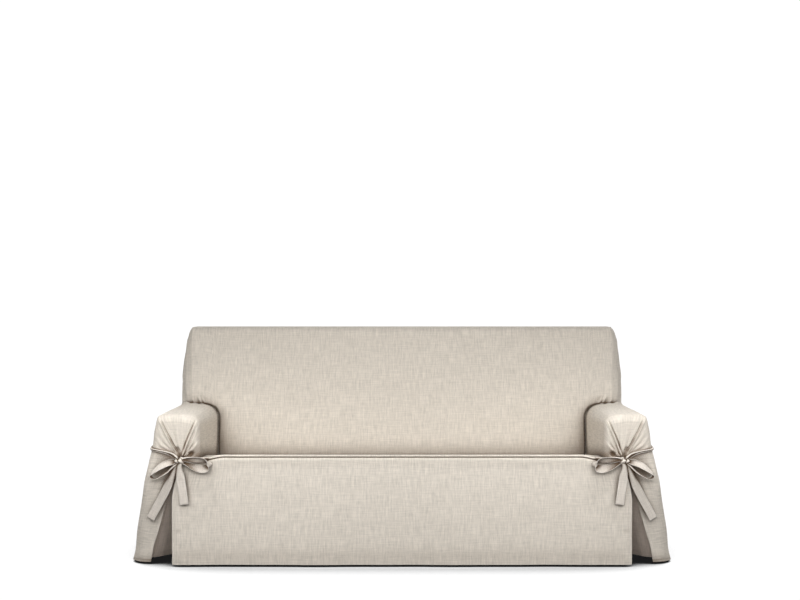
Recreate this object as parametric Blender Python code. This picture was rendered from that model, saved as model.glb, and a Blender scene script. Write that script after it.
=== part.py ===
"""Slipcover for a three-seater sofa, hanging as it does when it is on the sofa.

The cover is sewn from flat panels of linen-like cloth and gathered at the front of each arm
by two ties in a bow. It is hollow: the sofa itself is not part of it.

Metres. +X is to the right seen from the front, +Y goes to the back, +Z is up. Heights in the
tables are above the floor, and "out" is a distance from the middle of the sofa to either side.
The origin of the finished part is where the top of the sofa's back bears on the cloth.
"""

import math
from collections import namedtuple

import bpy
from mathutils import Vector

# ---------------------------------------------------------------- driving dimensions

CLOTH = 0.002            # thickness of the cloth
GAP = 0.0003             # sewn pieces lie this far apart
EDGE_GAP = 0.0009        # gap between two edges that meet end to end on a bend
SEAM = CLOTH / 2 + GAP   # from an edge to the middle of the cloth that it is sewn to
HEM = 0.010              # the hems hang this far off the floor

SEAT_FRONT = 0.458       # height of the seat's front edge
SEAT_FALL = 0.125        # the seat falls backward by this much a metre
SEAT_ROLL = 0.012        # depth of the seat's front edge, which is lower than it is deep by this share
SEAT_ROLL_RISE = 0.35
SEAT_OVERHANG = 0.001    # it stands out over the skirt by this much
SEAT_SAG = 0.006         # the seat sags by this much in its middle
SEAT_SAG_FROM = 0.030    # from this depth, fully after the next one, and no more at the last one
SEAT_SAG_FULL = 0.180
SEAT_SAG_TO = 0.540
SEAT_CORNER = 0.6        # its front corners round in with the arm by this share
SEAT_DEPTHS = (SEAT_ROLL, 0.024, 0.044, 0.09, 0.14, 0.20, 0.28, 0.36, 0.44, 0.52)
SEAT_REAR_HEIGHT = 0.375 # the back is met at this height
SEAT_FOLLOW = (0.50, 0.53)   # between these depths the seat's rows take on the back's crown
SEAM_HEIGHT = 0.4485     # seam between the seat and the front skirt
DRAWN_DEPTH = 0.200      # its front corners are drawn down over this depth
TUCK = 0.020             # cloth tucked down beside the seat
CREVICE = (0.008, 0.016) # the seat's rear edge turns down from here in front of the back, this far

ARM_IN = 0.830           # inner face of the arm
ARM_OUT = 1.007          # outer face of the arm at its top
ARM_TOP = 0.618          # height of the arm
ARM_CROWN = 0.004        # the arm's top is this much higher in its middle
ARM_FRONT = 0.012        # the cloth on the arm's front lies this far behind the front skirt
ARM_EDGE = 0.018         # rounding of the arm's outer top edge
ARM_INNER_EDGE = (0.045, 0.062)   # rounding of the inner top edge, front and rear
ARM_INNER_DEPTH = 0.55   # between the front and this depth
ARM_DEPTH = 0.56         # depth at which the arm meets the back
ARM_REAR_INSET = 3 * SEAM    # its rear edge meets the back this far inside its outline
ARM_REAR_GAP = 1.5 * SEAM    # and stays this far in front of it

KNOT_OUT = 0.902         # middle of the knot
KNOT_HEIGHT = 0.438
KNOT_EYE = 0.012         # the gathered cloth ends in a ring of this radius under the knot

CORNER = (0.032, 0.085)  # rounding of the arm's front edges, and of the side's corner at the hem
FOLD_DEPTH = 0.060       # the side's front fold lies this far back at the hem
FOLDS_TO = 0.060         # the folds of the gathered front die away before this depth

SKIRT_OUT = 0.939        # half of the front skirt's width
SKIRT_TIE_OUT = 0.912    # half of its width where it is drawn to the knot
SKIRT_DRAW = 0.270       # below this height its side edge hangs straight
SKIRT_NARROW = 0.600     # the drawing in starts this far out
SKIRT_ROLL = 0.0035      # the cloth stands out by this much just under the seat's edge
SKIRT_ROLL_SHARE = 0.03  # at this share of the way down, over as much again
SKIRT_ROLL_TO = 0.86     # and it dies away before this place
SKIRT_SIDE = 0.915       # the side edges turn back from here to the edge, by this much at the hem
SKIRT_SIDE_TURN = 0.006
SKIRT_FOLD_SHARE = 0.8   # the knot's folds stand out of the skirt by this share of their height
SKIRT_SHARES = (0.0, 0.012, 0.04, 0.09, 0.16, 0.25, 0.36, 0.50, 0.66, 0.83, 1.0)   # down the skirt
SKIRT_PLACES = (0.0, 0.12, 0.24, 0.36, 0.48, 0.59, 0.68, 0.74, 0.785, 0.82, 0.845, 0.865, 0.885,
                0.903, 0.921, SKIRT_OUT)

BACK_TOP = 0.966         # height of the back
BACK_CROWN = 0.010       # crown of its front face
BACK_CROWN_FADE = 0.25   # it flattens over this height below the top
BACK_FRONT_EDGE = 0.035  # rounding of its front and rear top edges
BACK_REAR_EDGE = 0.030
BACK_SIDE_EDGE = (0.080, 0.030)   # depth over which its sides round off, below and above
BACK_SIDE_BEVEL = 0.45            # share of that rounding which is a straight bevel
BACK_TOP_FROM = 0.700    # the flat top runs from here to the rear
BACK_TOP_TO = 0.842
REAR_TOP = 0.872         # the rear panel, at its top and at its hem
REAR_HEM = 0.920
REAR_CORNER = 0.030      # rounding of the rear corners
SIDE_SPLIT = 0.600       # seam between the back's side and the arm cover's side
SIDE_FROM = 0.612        # the back's side stands on the arm cover's side from here to the rear
LAP_RISE = 0.012         # the arm's cloth laps up against the back's side, here
LAP_OUT = 0.978
LAP_BREADTH = 0.022
SIDE_LOOSE = 0.50        # the outer side is smooth above this height
SIDE_LOOSE_FROM = 0.12   # and in front of this depth
REAR_LOOSE = 0.75        # the rear panel is smooth above this height
BACK_FOOT = 0.362        # the inside back reaches down to here behind the seat
BACK_LEVELS = (BACK_FOOT, 0.410, 0.460, 0.510)   # its levels beside the seat and the arms
NOTCH = 0.010            # the inside back reaches this far into the arm's outline
NOTCH_PLACES = 7         # columns of the inside back between its middle and the arm
UPPER_LEVELS = 7         # levels of the back above the arms

INNER_STEPS = 4          # columns of the arm cover: up the inner face, round its top edge,
INNER_EDGE_STEPS = 4     # across the top and round the outer edge
TOP_STEPS = 5
OUTER_EDGE_STEPS = 2
FIRST_SIDE_COLUMN = INNER_STEPS + INNER_EDGE_STEPS + TOP_STEPS + OUTER_EDGE_STEPS
LENGTH_STEPS = 5         # points along the arm, round its front edge and on its front
ROUND_STEPS = 4
FRONT_STEPS = 10
GATHER = 1.3             # the gathered cloth's points stand closer towards the knot by this power
ROUNDING_SHARE = 0.96    # the front edge's rounding takes up this share of the way to the knot at most
REAR_COLUMNS = 14        # columns of the rear panel
UNDERLAY_COLUMNS = 10    # columns and levels of a pleat's underlay
UNDERLAY_LEVELS = 8
BAND_STEPS = 2           # points between two passes of a tie
KNOT_RINGS = 7           # rings and points round each half knot
KNOT_TURNS = 12
SIDE_HEIGHTS = (0.580, 0.540, 0.500, 0.465, 0.438, 0.400, 0.350, 0.300, 0.250, 0.200, 0.150, 0.100,
                0.050, HEM)              # levels shared by the side and the rear panel

BEAR_Y = 0.770           # the sofa's back bears here under the top of the cover
BEAR_POINT = Vector((0.0, BEAR_Y, BACK_TOP - CLOTH / 2))

# ---------------------------------------------------------------- tables

Drop = namedtuple("Drop", "start breadth depth")
SEAM_DROPS = (           # the seam under the seat's front edge is drawn down towards the knots
    Drop(0.728, 0.085, 0.013),
    Drop(0.855, 0.050, 0.006),
)

Flare = namedtuple("Flare", "height out")
SIDE_FLARE = (           # the outer side widens towards its hem
    Flare(SIDE_SPLIT, 1.0070),
    Flare(0.573, 1.0130),
    Flare(0.548, 1.0180),
    Flare(0.499, 1.0235),
    Flare(0.412, 1.0429),
    Flare(0.339, 1.0620),
    Flare(0.262, 1.0757),
    Flare(0.211, 1.0860),
    Flare(0.120, 1.1045),
    Flare(0.051, 1.1139),
    Flare(HEM, 1.1255),
)
SIDE_FOLD = (            # the fold that ends the side at its front, from the knot to the hem
    Flare(KNOT_HEIGHT, KNOT_OUT + KNOT_EYE),
    Flare(0.410, 0.9110),
    Flare(0.375, 0.9190),
    Flare(0.271, 0.9620),
    Flare(0.208, 0.9830),
    Flare(0.142, 1.0030),
    Flare(0.077, 1.0240),
    Flare(HEM, 1.0360),
)
BACK_SIDE = (            # widest reach of the back's side
    Flare(0.600, 1.0080),
    Flare(0.720, 1.0077),
    Flare(0.820, 0.9990),
    Flare(0.890, 0.9900),
    Flare(0.930, 0.9820),
    Flare(0.9575, 0.9717),
    Flare(BACK_TOP, 0.9643),
)
BACK_SEAM = (            # where the back's front face rounds off to its side
    Flare(0.600, 0.9490),
    Flare(0.800, 0.9570),
    Flare(0.930, 0.9620),
    Flare(BACK_TOP, 0.9570),
)

Lean = namedtuple("Lean", "height y")
BACK_LEAN = (            # the back's front face leans to the rear
    Lean(0.362, 0.5500),
    Lean(0.450, 0.5540),
    Lean(0.620, 0.5850),
    Lean(0.800, 0.6300),
    Lean(0.931, 0.6650),
)

Plan = namedtuple("Plan", "share top_out top_y hem_out hem_y")
UNDERLAY = (             # the pleat's underlay at its top and at its hem, from the side inwards
    Plan(0.0, 0.926, 0.0146, 1.0750, 0.1180),
    Plan(0.2, 0.916, 0.0146, 1.0420, 0.1180),
    Plan(0.4, 0.906, 0.0150, 1.0080, 0.1450),
    Plan(0.6, 0.896, 0.0160, 0.9740, 0.1850),
    Plan(0.8, 0.884, 0.0170, 0.9300, 0.2150),
    Plan(1.0, 0.870, 0.0180, 0.8800, 0.2250),
)
UNDERLAY_TOP = 0.434     # its top edge, and how far its hem hangs above the others
UNDERLAY_RISE = 0.008
UNDERLAY_SPREAD = 0.9    # powers by which it spreads and falls back on its way down
UNDERLAY_FALL = 1.1

Ridge = namedtuple("Ridge", "out_1 z_1 out_2 z_2 out_3 z_3 height breadth")
ARM_RIDGES = (           # folds that run from the arm's front edges to the knot
    Ridge(0.9930, 0.5880, 0.9600, 0.5080, 0.9150, 0.4560, 0.0080, 0.0075),
    Ridge(1.0020, 0.5560, 0.9800, 0.5000, 0.9280, 0.4600, 0.0035, 0.0080),
    Ridge(0.8410, 0.5830, 0.8740, 0.5300, 0.8960, 0.4540, 0.0080, 0.0075),
    Ridge(0.8330, 0.5500, 0.8520, 0.5000, 0.8840, 0.4540, 0.0040, 0.0080),
    Ridge(0.9230, 0.5900, 0.9160, 0.5200, 0.9050, 0.4560, 0.0025, 0.0100),
)
SKIRT_RIDGES = (         # folds that run from the knot down into the front skirt
    Ridge(0.8990, 0.4200, 0.9080, 0.3300, 0.9150, 0.1600, 0.0060, 0.0120),
    Ridge(0.8800, 0.4150, 0.8620, 0.3400, 0.8480, 0.2600, 0.0040, 0.0130),
)

Wave = namedtuple("Wave", "height pitch start")
SIDE_WAVES = (           # soft folds of the outer side, along its depth
    Wave(0.0060, 0.340, 0.20),
    Wave(0.0030, 0.190, 0.05),
)
FRONT_WAVES = (          # soft folds of the front skirt, along its width
    Wave(0.0022, 0.620, 0.11),
    Wave(0.0012, 0.270, 0.40),
)
REAR_WAVES = (           # soft folds of the rear panel, along its width
    Wave(0.0070, 0.480, 0.12),
    Wave(0.0035, 0.230, 0.31),
)

Pass = namedtuple("Pass", "out y z width w_out w_y w_z")   # w_: the way the width points
OUTER_STRAP = (
    Pass(1.0290, 0.150, 0.487, 0.0150, -0.22, 0.0, 1.0),
    Pass(1.0297, 0.085, 0.484, 0.0130, -0.22, 0.0, 1.0),
    Pass(1.0300, 0.046, 0.481, 0.0110, -0.20, 0.0, 1.0),
    Pass(1.0205, 0.015, 0.478, 0.0100, 0.0, 0.0, 1.0),
    Pass(0.9940, 0.003, 0.474, 0.0100, 0.0, 0.0, 1.0),
    Pass(0.9620, -0.001, 0.468, 0.0120, 0.0, 0.0, 1.0),
    Pass(0.9340, -0.008, 0.459, 0.0150, 0.0, -0.2, 1.0),
    Pass(0.9150, -0.015, 0.445, 0.0160, 0.0, -0.3, 1.0),
)
OUTER_LOOP = (
    Pass(0.9150, -0.016, 0.442, 0.0100, 0.0, -0.30, -0.95),
    Pass(0.9300, -0.019, 0.432, 0.0220, 0.0, -0.40, -0.90),
    Pass(0.9532, -0.022, 0.426, 0.0300, 0.0, -0.55, -0.83),
    Pass(0.9857, -0.023, 0.410, 0.0340, 0.0, -0.70, -0.71),
    Pass(1.0120, -0.022, 0.389, 0.0340, 0.0, -0.90, -0.44),
    Pass(1.0210, -0.021, 0.376, 0.0340, 0.0, -0.98, -0.20),
    Pass(1.0100, -0.021, 0.366, 0.0340, 0.0, -1.00, 0.00),
    Pass(0.9857, -0.021, 0.371, 0.0330, 0.0, -0.98, 0.10),
    Pass(0.9532, -0.019, 0.391, 0.0280, 0.0, -0.95, 0.25),
    Pass(0.9280, -0.017, 0.414, 0.0200, 0.0, -0.85, 0.50),
    Pass(0.9150, -0.016, 0.427, 0.0100, 0.0, -0.75, 0.66),
)
OUTER_TAIL = (
    Pass(0.9165, -0.015, 0.432, 0.0110, 0.9, 0.0, 0.43),
    Pass(0.9240, -0.014, 0.414, 0.0200, 0.9, 0.0, 0.43),
    Pass(0.9370, -0.011, 0.378, 0.0270, 0.9, 0.1, 0.40),
    Pass(0.9570, -0.006, 0.329, 0.0340, 0.9, 0.1, 0.41),
    Pass(0.9850, 0.003, 0.276, 0.0345, 0.9, 0.2, 0.43),
    Pass(1.0080, 0.010, 0.235, 0.0345, 0.9, 0.2, 0.43),
    Pass(1.0310, 0.017, 0.194, 0.0345, 0.9, 0.2, 0.43),
)
INNER_STRAP = (
    Pass(0.7900, -0.0045, 0.4475, 0.0080, 0.0, 0.0, 1.0),
    Pass(0.8150, -0.0050, 0.4435, 0.0090, 0.0, 0.0, 1.0),
    Pass(0.8450, -0.0060, 0.4420, 0.0110, 0.0, 0.0, 1.0),
    Pass(0.8720, -0.0100, 0.4413, 0.0130, 0.0, -0.2, 1.0),
    Pass(0.8960, -0.0160, 0.4405, 0.0150, 0.0, -0.3, 1.0),
)
INNER_LOOP = (
    Pass(0.8960, -0.0190, 0.4430, 0.0110, 0.00, -0.60, 0.80),
    Pass(0.8790, -0.0230, 0.4440, 0.0190, 0.00, -0.50, 0.86),
    Pass(0.8560, -0.0240, 0.4440, 0.0250, 0.00, -0.50, 0.86),
    Pass(0.8300, -0.0245, 0.4430, 0.0300, 0.05, -0.55, 0.83),
    Pass(0.8080, -0.0250, 0.4400, 0.0330, 0.18, -0.70, 0.68),
    Pass(0.7920, -0.0260, 0.4350, 0.0345, 0.40, -0.82, 0.40),
    Pass(0.7825, -0.0268, 0.4260, 0.0345, 0.50, -0.86, 0.05),
    Pass(0.7820, -0.0275, 0.4155, 0.0345, 0.44, -0.80, -0.38),
    Pass(0.7900, -0.0280, 0.4080, 0.0345, 0.26, -0.62, -0.74),
    Pass(0.8080, -0.0280, 0.4045, 0.0345, 0.10, -0.44, -0.89),
    Pass(0.8260, -0.0275, 0.4065, 0.0330, 0.00, -0.38, -0.92),
    Pass(0.8440, -0.0262, 0.4115, 0.0280, -0.12, -0.35, -0.92),
    Pass(0.8620, -0.0242, 0.4190, 0.0210, -0.25, -0.32, -0.90),
    Pass(0.8800, -0.0220, 0.4265, 0.0150, -0.30, -0.30, -0.90),
    Pass(0.8960, -0.0190, 0.4310, 0.0110, -0.30, -0.30, -0.90),
)
INNER_TAIL = (
    Pass(0.8990, -0.0180, 0.4330, 0.0130, 1.0, 0.0, 0.05),
    Pass(0.9000, -0.0190, 0.4240, 0.0150, 1.0, 0.0, 0.05),
    Pass(0.9045, -0.0200, 0.4150, 0.0220, 1.0, 0.0, 0.05),
    Pass(0.9043, -0.0210, 0.3920, 0.0300, 1.0, 0.0, 0.08),
    Pass(0.9000, -0.0210, 0.3620, 0.0345, 0.99, 0.0, 0.12),
    Pass(0.8920, -0.0200, 0.3090, 0.0345, 0.99, 0.0, 0.13),
    Pass(0.8855, -0.0190, 0.2568, 0.0345, 0.99, 0.0, 0.13),
)
OUTER_BANDS = (("strap", OUTER_STRAP), ("loop", OUTER_LOOP), ("tail", OUTER_TAIL))
INNER_BANDS = (("strap", INNER_STRAP), ("loop", INNER_LOOP), ("tail", INNER_TAIL))

Lump = namedtuple("Lump", "out y z r_out r_y r_z")
OUTER_CHEEK = Lump(0.9155, -0.0155, 0.4365, 0.0062, 0.0105, 0.0135)
INNER_CHEEK = Lump(0.8981, -0.0165, 0.4365, 0.0112, 0.0120, 0.0150)

Finish = namedtuple("Finish", "name colour roughness metallic")
LINEN = Finish("linen_cloth", (0.67, 0.60, 0.52, 1.0), 0.92, 0.0)
LINEN_REAR = Finish("linen_cloth_rear", (0.61, 0.54, 0.46, 1.0), 0.92, 0.0)
LINEN_TIE = Finish("linen_tie", (0.66, 0.59, 0.50, 1.0), 0.90, 0.0)


# ---------------------------------------------------------------- small helpers

def mix(low, high, share):
    """Value between low and high."""
    return low + (high - low) * share


def ease(share):
    """0 to 1 with level ends."""
    share = min(max(share, 0.0), 1.0)
    return share * share * (3.0 - 2.0 * share)


def look_up(table, key, column, value):
    """Smooth reading of one column of a table whose rows are sorted by another."""
    rows = sorted(table, key=lambda row: getattr(row, key))
    keys = [getattr(row, key) for row in rows]
    values = [getattr(row, column) for row in rows]
    value = min(max(value, keys[0]), keys[-1])
    last = len(keys) - 1
    low = max(i for i in range(last) if keys[i] <= value)
    span = keys[low + 1] - keys[low]
    share = (value - keys[low]) / span

    def slope(i):
        before, after = max(i - 1, 0), min(i + 1, last)
        return (values[after] - values[before]) / (keys[after] - keys[before])

    square, cube = share * share, share ** 3
    return ((2 * cube - 3 * square + 1) * values[low] + (cube - 2 * square + share) * span * slope(low)
            + (3 * square - 2 * cube) * values[low + 1] + (cube - square) * span * slope(low + 1))


def arc(centre, radius, start, end, steps):
    """Points of an arc in a plane, without its last one; angles in degrees."""
    points = []
    for i in range(steps):
        angle = math.radians(mix(start, end, i / steps))
        points.append((centre[0] + radius * math.cos(angle), centre[1] + radius * math.sin(angle)))
    return points


def waves(table, place):
    """Sum of the soft folds at a place along the cloth."""
    return sum(w.height * math.sin(2 * math.pi * (place - w.start) / w.pitch) for w in table)


def distance_to_ridge(ridge, out, z):
    """Distance to a ridge's line, and how far along the line the nearest point lies."""
    corners = ((ridge.out_1, ridge.z_1), (ridge.out_2, ridge.z_2), (ridge.out_3, ridge.z_3))
    nearest = (math.inf, 0.0)
    for part in range(2):
        (a, b), (c, d) = corners[part], corners[part + 1]
        length = (c - a) ** 2 + (d - b) ** 2
        share = min(max(((out - a) * (c - a) + (z - b) * (d - b)) / length, 0.0), 1.0)
        far = math.hypot(out - mix(a, c, share), z - mix(b, d, share))
        nearest = min(nearest, (far, (part + share) / 2))
    return nearest


def ridges(table, out, z):
    """How far the folds of a table stand out of the cloth at a place."""
    height = 0.0
    for ridge in table:
        far, along = distance_to_ridge(ridge, out, z)
        height += ridge.height * ease(along / 0.25) * math.exp(-(far / ridge.breadth) ** 2)
    return height


# ---------------------------------------------------------------- blender helpers

def material(finish):
    """Material of one finish, made once."""
    made = bpy.data.materials.get(finish.name)
    if made is None:
        made = bpy.data.materials.new(finish.name)
        made.use_nodes = True
        shader = made.node_tree.nodes["Principled BSDF"]
        shader.inputs["Base Color"].default_value = finish.colour
        shader.inputs["Roughness"].default_value = finish.roughness
        shader.inputs["Metallic"].default_value = finish.metallic
        made.diffuse_color = finish.colour
    return made


def add_object(name, vertices, faces, finish):
    """Object with its origin where the sofa's back bears on the cover."""
    mesh = bpy.data.meshes.new(name)
    mesh.from_pydata(vertices, [], faces)
    mesh.shade_smooth()
    mesh.materials.append(material(finish))
    thing = bpy.data.objects.new(name, mesh)
    thing.location = -BEAR_POINT
    bpy.context.collection.objects.link(thing)
    return thing


def sheet(name, grid, finish):
    """Sheet of cloth through a grid of points, where None leaves the cloth away."""
    vertices, faces, number = [], [], {}
    for i, row in enumerate(grid):
        for j, point in enumerate(row):
            if point is not None:
                number[i, j] = len(vertices)
                vertices.append(point)
    for i in range(len(grid) - 1):
        for j in range(len(grid[i]) - 1):
            cell = ((i, j), (i + 1, j), (i + 1, j + 1), (i, j + 1))
            if all(corner in number for corner in cell):
                faces.append([number[corner] for corner in cell])
    thing = add_object(name, vertices, faces, finish)
    thicken = thing.modifiers.new("cloth thickness", "SOLIDIFY")
    thicken.thickness = CLOTH
    thicken.offset = 0.0
    return thing


def smooth_path(passes, steps):
    """Passes between the given ones, on a smooth curve through them."""
    rows = [Vector(row) for row in passes]
    rows = [2 * rows[0] - rows[1], *rows, 2 * rows[-1] - rows[-2]]
    path = []
    for i in range(1, len(rows) - 2):
        a, b, c, d = rows[i - 1:i + 3]
        for k in range(steps):
            t = k / steps
            path.append(0.5 * (2 * b + (c - a) * t + (2 * a - 5 * b + 4 * c - d) * t * t
                               + (3 * b - a - 3 * c + d) * t ** 3))
    path.append(rows[-2])
    return path


def ribbon(name, side, passes, steps, finish):
    """Flat closed band along a smooth path; its section has a thickness of CLOTH."""
    path = smooth_path(passes, steps)
    centres = [Vector((side * p[0], p[1], p[2])) for p in path]
    vertices, faces = [], []
    last = len(path) - 1
    for i, p in enumerate(path):
        ahead = (centres[min(i + 1, last)] - centres[max(i - 1, 0)]).normalized()
        across = Vector((side * p[4], p[5], p[6]))
        across = (across - ahead * across.dot(ahead)).normalized()
        up = ahead.cross(across)
        for a, b in ((-1, -1), (1, -1), (1, 1), (-1, 1)):
            vertices.append(centres[i] + across * (a * p[3] / 2) + up * (b * CLOTH / 2))
    for i in range(last):
        for k in range(4):
            n = (k + 1) % 4
            faces.append((4 * i + k, 4 * i + n, 4 * i + 4 + n))
            faces.append((4 * i + k, 4 * i + 4 + n, 4 * i + 4 + k))
    faces += [(2, 1, 0), (3, 2, 0)]
    faces += [(4 * last, 4 * last + 1, 4 * last + 2), (4 * last, 4 * last + 2, 4 * last + 3)]
    return add_object(name, vertices, faces, finish)


def cheek(name, side, lump, finish):
    """Rounded half of a knot."""
    rings, turns = KNOT_RINGS, KNOT_TURNS
    vertices = [(side * lump.out, lump.y, lump.z + lump.r_z)]
    for i in range(1, rings):
        tilt = math.pi * i / rings
        for k in range(turns):
            turn = 2 * math.pi * k / turns
            vertices.append((side * (lump.out + lump.r_out * math.sin(tilt) * math.cos(turn)),
                             lump.y + lump.r_y * math.sin(tilt) * math.sin(turn),
                             lump.z + lump.r_z * math.cos(tilt)))
    vertices.append((side * lump.out, lump.y, lump.z - lump.r_z))
    faces = []
    for k in range(turns):
        n = (k + 1) % turns
        faces.append((0, 1 + k, 1 + n))
        for i in range(rings - 2):
            first, below = 1 + i * turns, 1 + (i + 1) * turns
            faces.append((first + k, below + k, below + n))
            faces.append((first + k, below + n, first + n))
        end = 1 + (rings - 2) * turns
        faces.append((len(vertices) - 1, end + n, end + k))
    if side < 0:
        faces = [tuple(reversed(face)) for face in faces]
    return add_object(name, vertices, faces, finish)


def join(base, pieces):
    """Fuse hidden pieces into one solid with the base."""
    for piece in pieces:
        piece.hide_render = True
        piece.display_type = "WIRE"
        union = base.modifiers.new("fuse", "BOOLEAN")
        union.operation = "UNION"
        union.object = piece
    return base


# ---------------------------------------------------------------- the sofa's forms under the cloth

def seat_height(y):
    """Height of the seat's cloth."""
    return SEAT_FRONT - SEAT_FALL * max(y - SEAT_ROLL, 0.0)


def drawn_in(out):
    """How far a place on the front skirt is drawn in at its top, towards the middle."""
    return (SKIRT_OUT - SKIRT_TIE_OUT) * ease((out - SKIRT_NARROW) / (SKIRT_OUT - SKIRT_NARROW))


def edge_drop(out):
    """How far the seam under the seat's front edge is drawn down towards the knots."""
    return sum(drop.depth * ease((out - drop.start) / drop.breadth) for drop in SEAM_DROPS)


def side_out(z, y):
    """Reach of the outer side with its soft folds, which grow towards the hem."""
    loose = ease((SIDE_LOOSE - z) / SIDE_LOOSE) * ease((y - SIDE_LOOSE_FROM) / SIDE_LOOSE_FROM)
    return look_up(SIDE_FLARE, "height", "out", z) + loose * waves(SIDE_WAVES, y)


def back_front(z, out=0.0):
    """Front of the back: a leaning face with a soft crown and rounded sides."""
    lean = look_up(BACK_LEAN, "height", "y", z)
    if z > BACK_TOP - BACK_FRONT_EDGE:
        rise = (z - BACK_TOP + BACK_FRONT_EDGE) / BACK_FRONT_EDGE
        lean = BACK_TOP_FROM - BACK_FRONT_EDGE * math.sqrt(max(1.0 - rise * rise, 0.0))
    seam = back_seam(z)
    crown = BACK_CROWN * ease((BACK_TOP - z) / BACK_CROWN_FADE) * (1.0 - min(out / seam, 1.0) ** 4)
    if out <= seam:
        return lean - crown
    reach = look_up(BACK_SIDE, "height", "out", z)
    share = min((out - seam) / (reach - seam), 1.0)
    return lean + side_rounding(z) * side_turn(share)


def back_seam(z):
    """Half width at which the front face rounds off to the side."""
    return look_up(BACK_SEAM, "height", "out", z)


def side_turn(share):
    """Share of the side's depth that the cloth has turned back, between a quarter round and a bevel."""
    return mix(1.0 - math.sqrt(1.0 - share * share), share, BACK_SIDE_BEVEL)


def side_rounding(z):
    """Depth over which the back's side rounds off."""
    low, high = BACK_SIDE_EDGE
    return mix(low, high, ease((z - SIDE_SPLIT) / (BACK_TOP - SIDE_SPLIT)))


def rear_y(z):
    """Place of the rear panel."""
    return mix(REAR_HEM, REAR_TOP, (z - HEM) / (BACK_TOP - BACK_REAR_EDGE - HEM))


# ---------------------------------------------------------------- panels

def back_levels(low):
    """Heights from a panel's lower edge to where the back's front face ends."""
    high = BACK_TOP - BACK_FRONT_EDGE
    return [mix(low, high, k / UPPER_LEVELS) for k in range(UPPER_LEVELS + 1)]


def back_top_levels():
    """Heights round the front top edge."""
    return [BACK_TOP - BACK_FRONT_EDGE * (1 - math.sin(math.radians(a))) for a in (25, 50, 75)]


def back_rear(z):
    """Rear of the back, rounded at its top."""
    if z <= BACK_TOP - BACK_REAR_EDGE:
        return rear_y(z)
    drop = (z - BACK_TOP + BACK_REAR_EDGE) / BACK_REAR_EDGE
    return BACK_TOP_TO + BACK_REAR_EDGE * math.sqrt(1 - drop * drop)


def back_face_column(place):
    """Column of the inside back, over the top to the rear seam; None is its outer front edge."""
    notch_out = ARM_IN + NOTCH
    notch_top = ARM_TOP - NOTCH
    notch_radius = ARM_INNER_EDGE[1] - NOTCH
    column = [None] * len(BACK_LEVELS)
    low = notch_top
    if place is not None and place <= notch_out:
        column = [(place, back_front(z, place), z) for z in BACK_LEVELS]
        low = notch_top - notch_radius
    elif place is not None and place < notch_out + notch_radius:
        rise = 1 - (1 - (place - notch_out) / notch_radius) ** 2
        low = notch_top - notch_radius * (1 - math.sqrt(rise))
    for z in back_levels(low) + back_top_levels():
        out = back_seam(z) if place is None else place
        column.append((out, back_front(z, out), z))
    edge = look_up(BACK_SIDE, "height", "out", BACK_TOP) - EDGE_GAP
    for y in (BACK_TOP_FROM, mix(BACK_TOP_FROM, BACK_TOP_TO, 0.5), BACK_TOP_TO):
        column.append((edge if place is None else place, y, BACK_TOP))
    for angle in (30, 60, 90):
        z = BACK_TOP - BACK_REAR_EDGE * (1 - math.cos(math.radians(angle)))
        out = back_seam(z) - EDGE_GAP if place is None else place
        column.append((out, back_rear(z), z))
    return column


def back_side_points(z):
    """Points (out, y) round the back's side at a height, from its front edge to the rear seam."""
    seam, reach = back_seam(z), look_up(BACK_SIDE, "height", "out", z)
    front, rear, depth = back_front(z, seam), back_rear(z), side_rounding(z)
    corner = min(REAR_CORNER, reach - seam)
    points = []
    for angle in (25, 50, 72, 90):
        turn = math.radians(angle)
        points.append((mix(seam, reach, math.sin(turn)), front + depth * side_turn(math.sin(turn))))
    points.append((reach, mix(front + depth, rear - REAR_CORNER, 0.5)))
    for angle in (0, 30, 60, 90):
        turn = math.radians(angle)
        points.append((reach - corner * (1 - math.cos(turn)), rear - REAR_CORNER * (1 - math.sin(turn))))
    return points


def inside_back():
    """Panel over the back's front face, top and sides, notched round the arms.

    A dart at each top corner parts its side from its top.
    """
    notch_out = ARM_IN + NOTCH
    bends = [1 - math.cos(math.radians(angle)) for angle in (0, 30, 60, 90)]
    places = [notch_out * i / NOTCH_PLACES for i in range(NOTCH_PLACES)]
    places += [notch_out + (ARM_INNER_EDGE[1] - NOTCH) * bend for bend in bends]
    half = [back_face_column(place) for place in (*places, 0.920, None)]
    side_levels = back_levels(SIDE_SPLIT + EDGE_GAP) + back_top_levels()
    rows = [back_side_points(z) for z in side_levels]
    for k in range(len(rows[0])):
        column = [(*row[k], z) for row, z in zip(rows, side_levels)]
        half.append([None] * len(BACK_LEVELS) + column + [None] * 6)
    mirrored = [[p and (-p[0], p[1], p[2]) for p in column] for column in reversed(half[1:])]
    return sheet("inside_back", mirrored + half, LINEN)


def rear_edge(z):
    """Half of the rear panel's width."""
    if z > SIDE_SPLIT:
        reach = look_up(BACK_SIDE, "height", "out", z)
        return reach - min(REAR_CORNER, reach - back_seam(z)) - EDGE_GAP
    return side_out(z, rear_y(z)) - REAR_CORNER - EDGE_GAP


def outside_back():
    """Rear panel from the top seam to the hem."""
    top = BACK_TOP - BACK_REAR_EDGE - EDGE_GAP
    levels = back_levels(SIDE_SPLIT + EDGE_GAP)
    heights = (top, *reversed(levels), SIDE_SPLIT - EDGE_GAP, *SIDE_HEIGHTS)
    grid = []
    for z in heights:
        loose = ease((REAR_LOOSE - z) / REAR_LOOSE)
        row = []
        for i in range(REAR_COLUMNS + 1):
            place = 2 * i / REAR_COLUMNS - 1
            out = place * rear_edge(z)
            edge = 1 - abs(place) ** 6
            row.append((out, rear_y(z) + loose * edge * waves(REAR_WAVES, out), z))
        grid.append(row)
    return sheet("outside_back", grid, LINEN_REAR)


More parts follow.
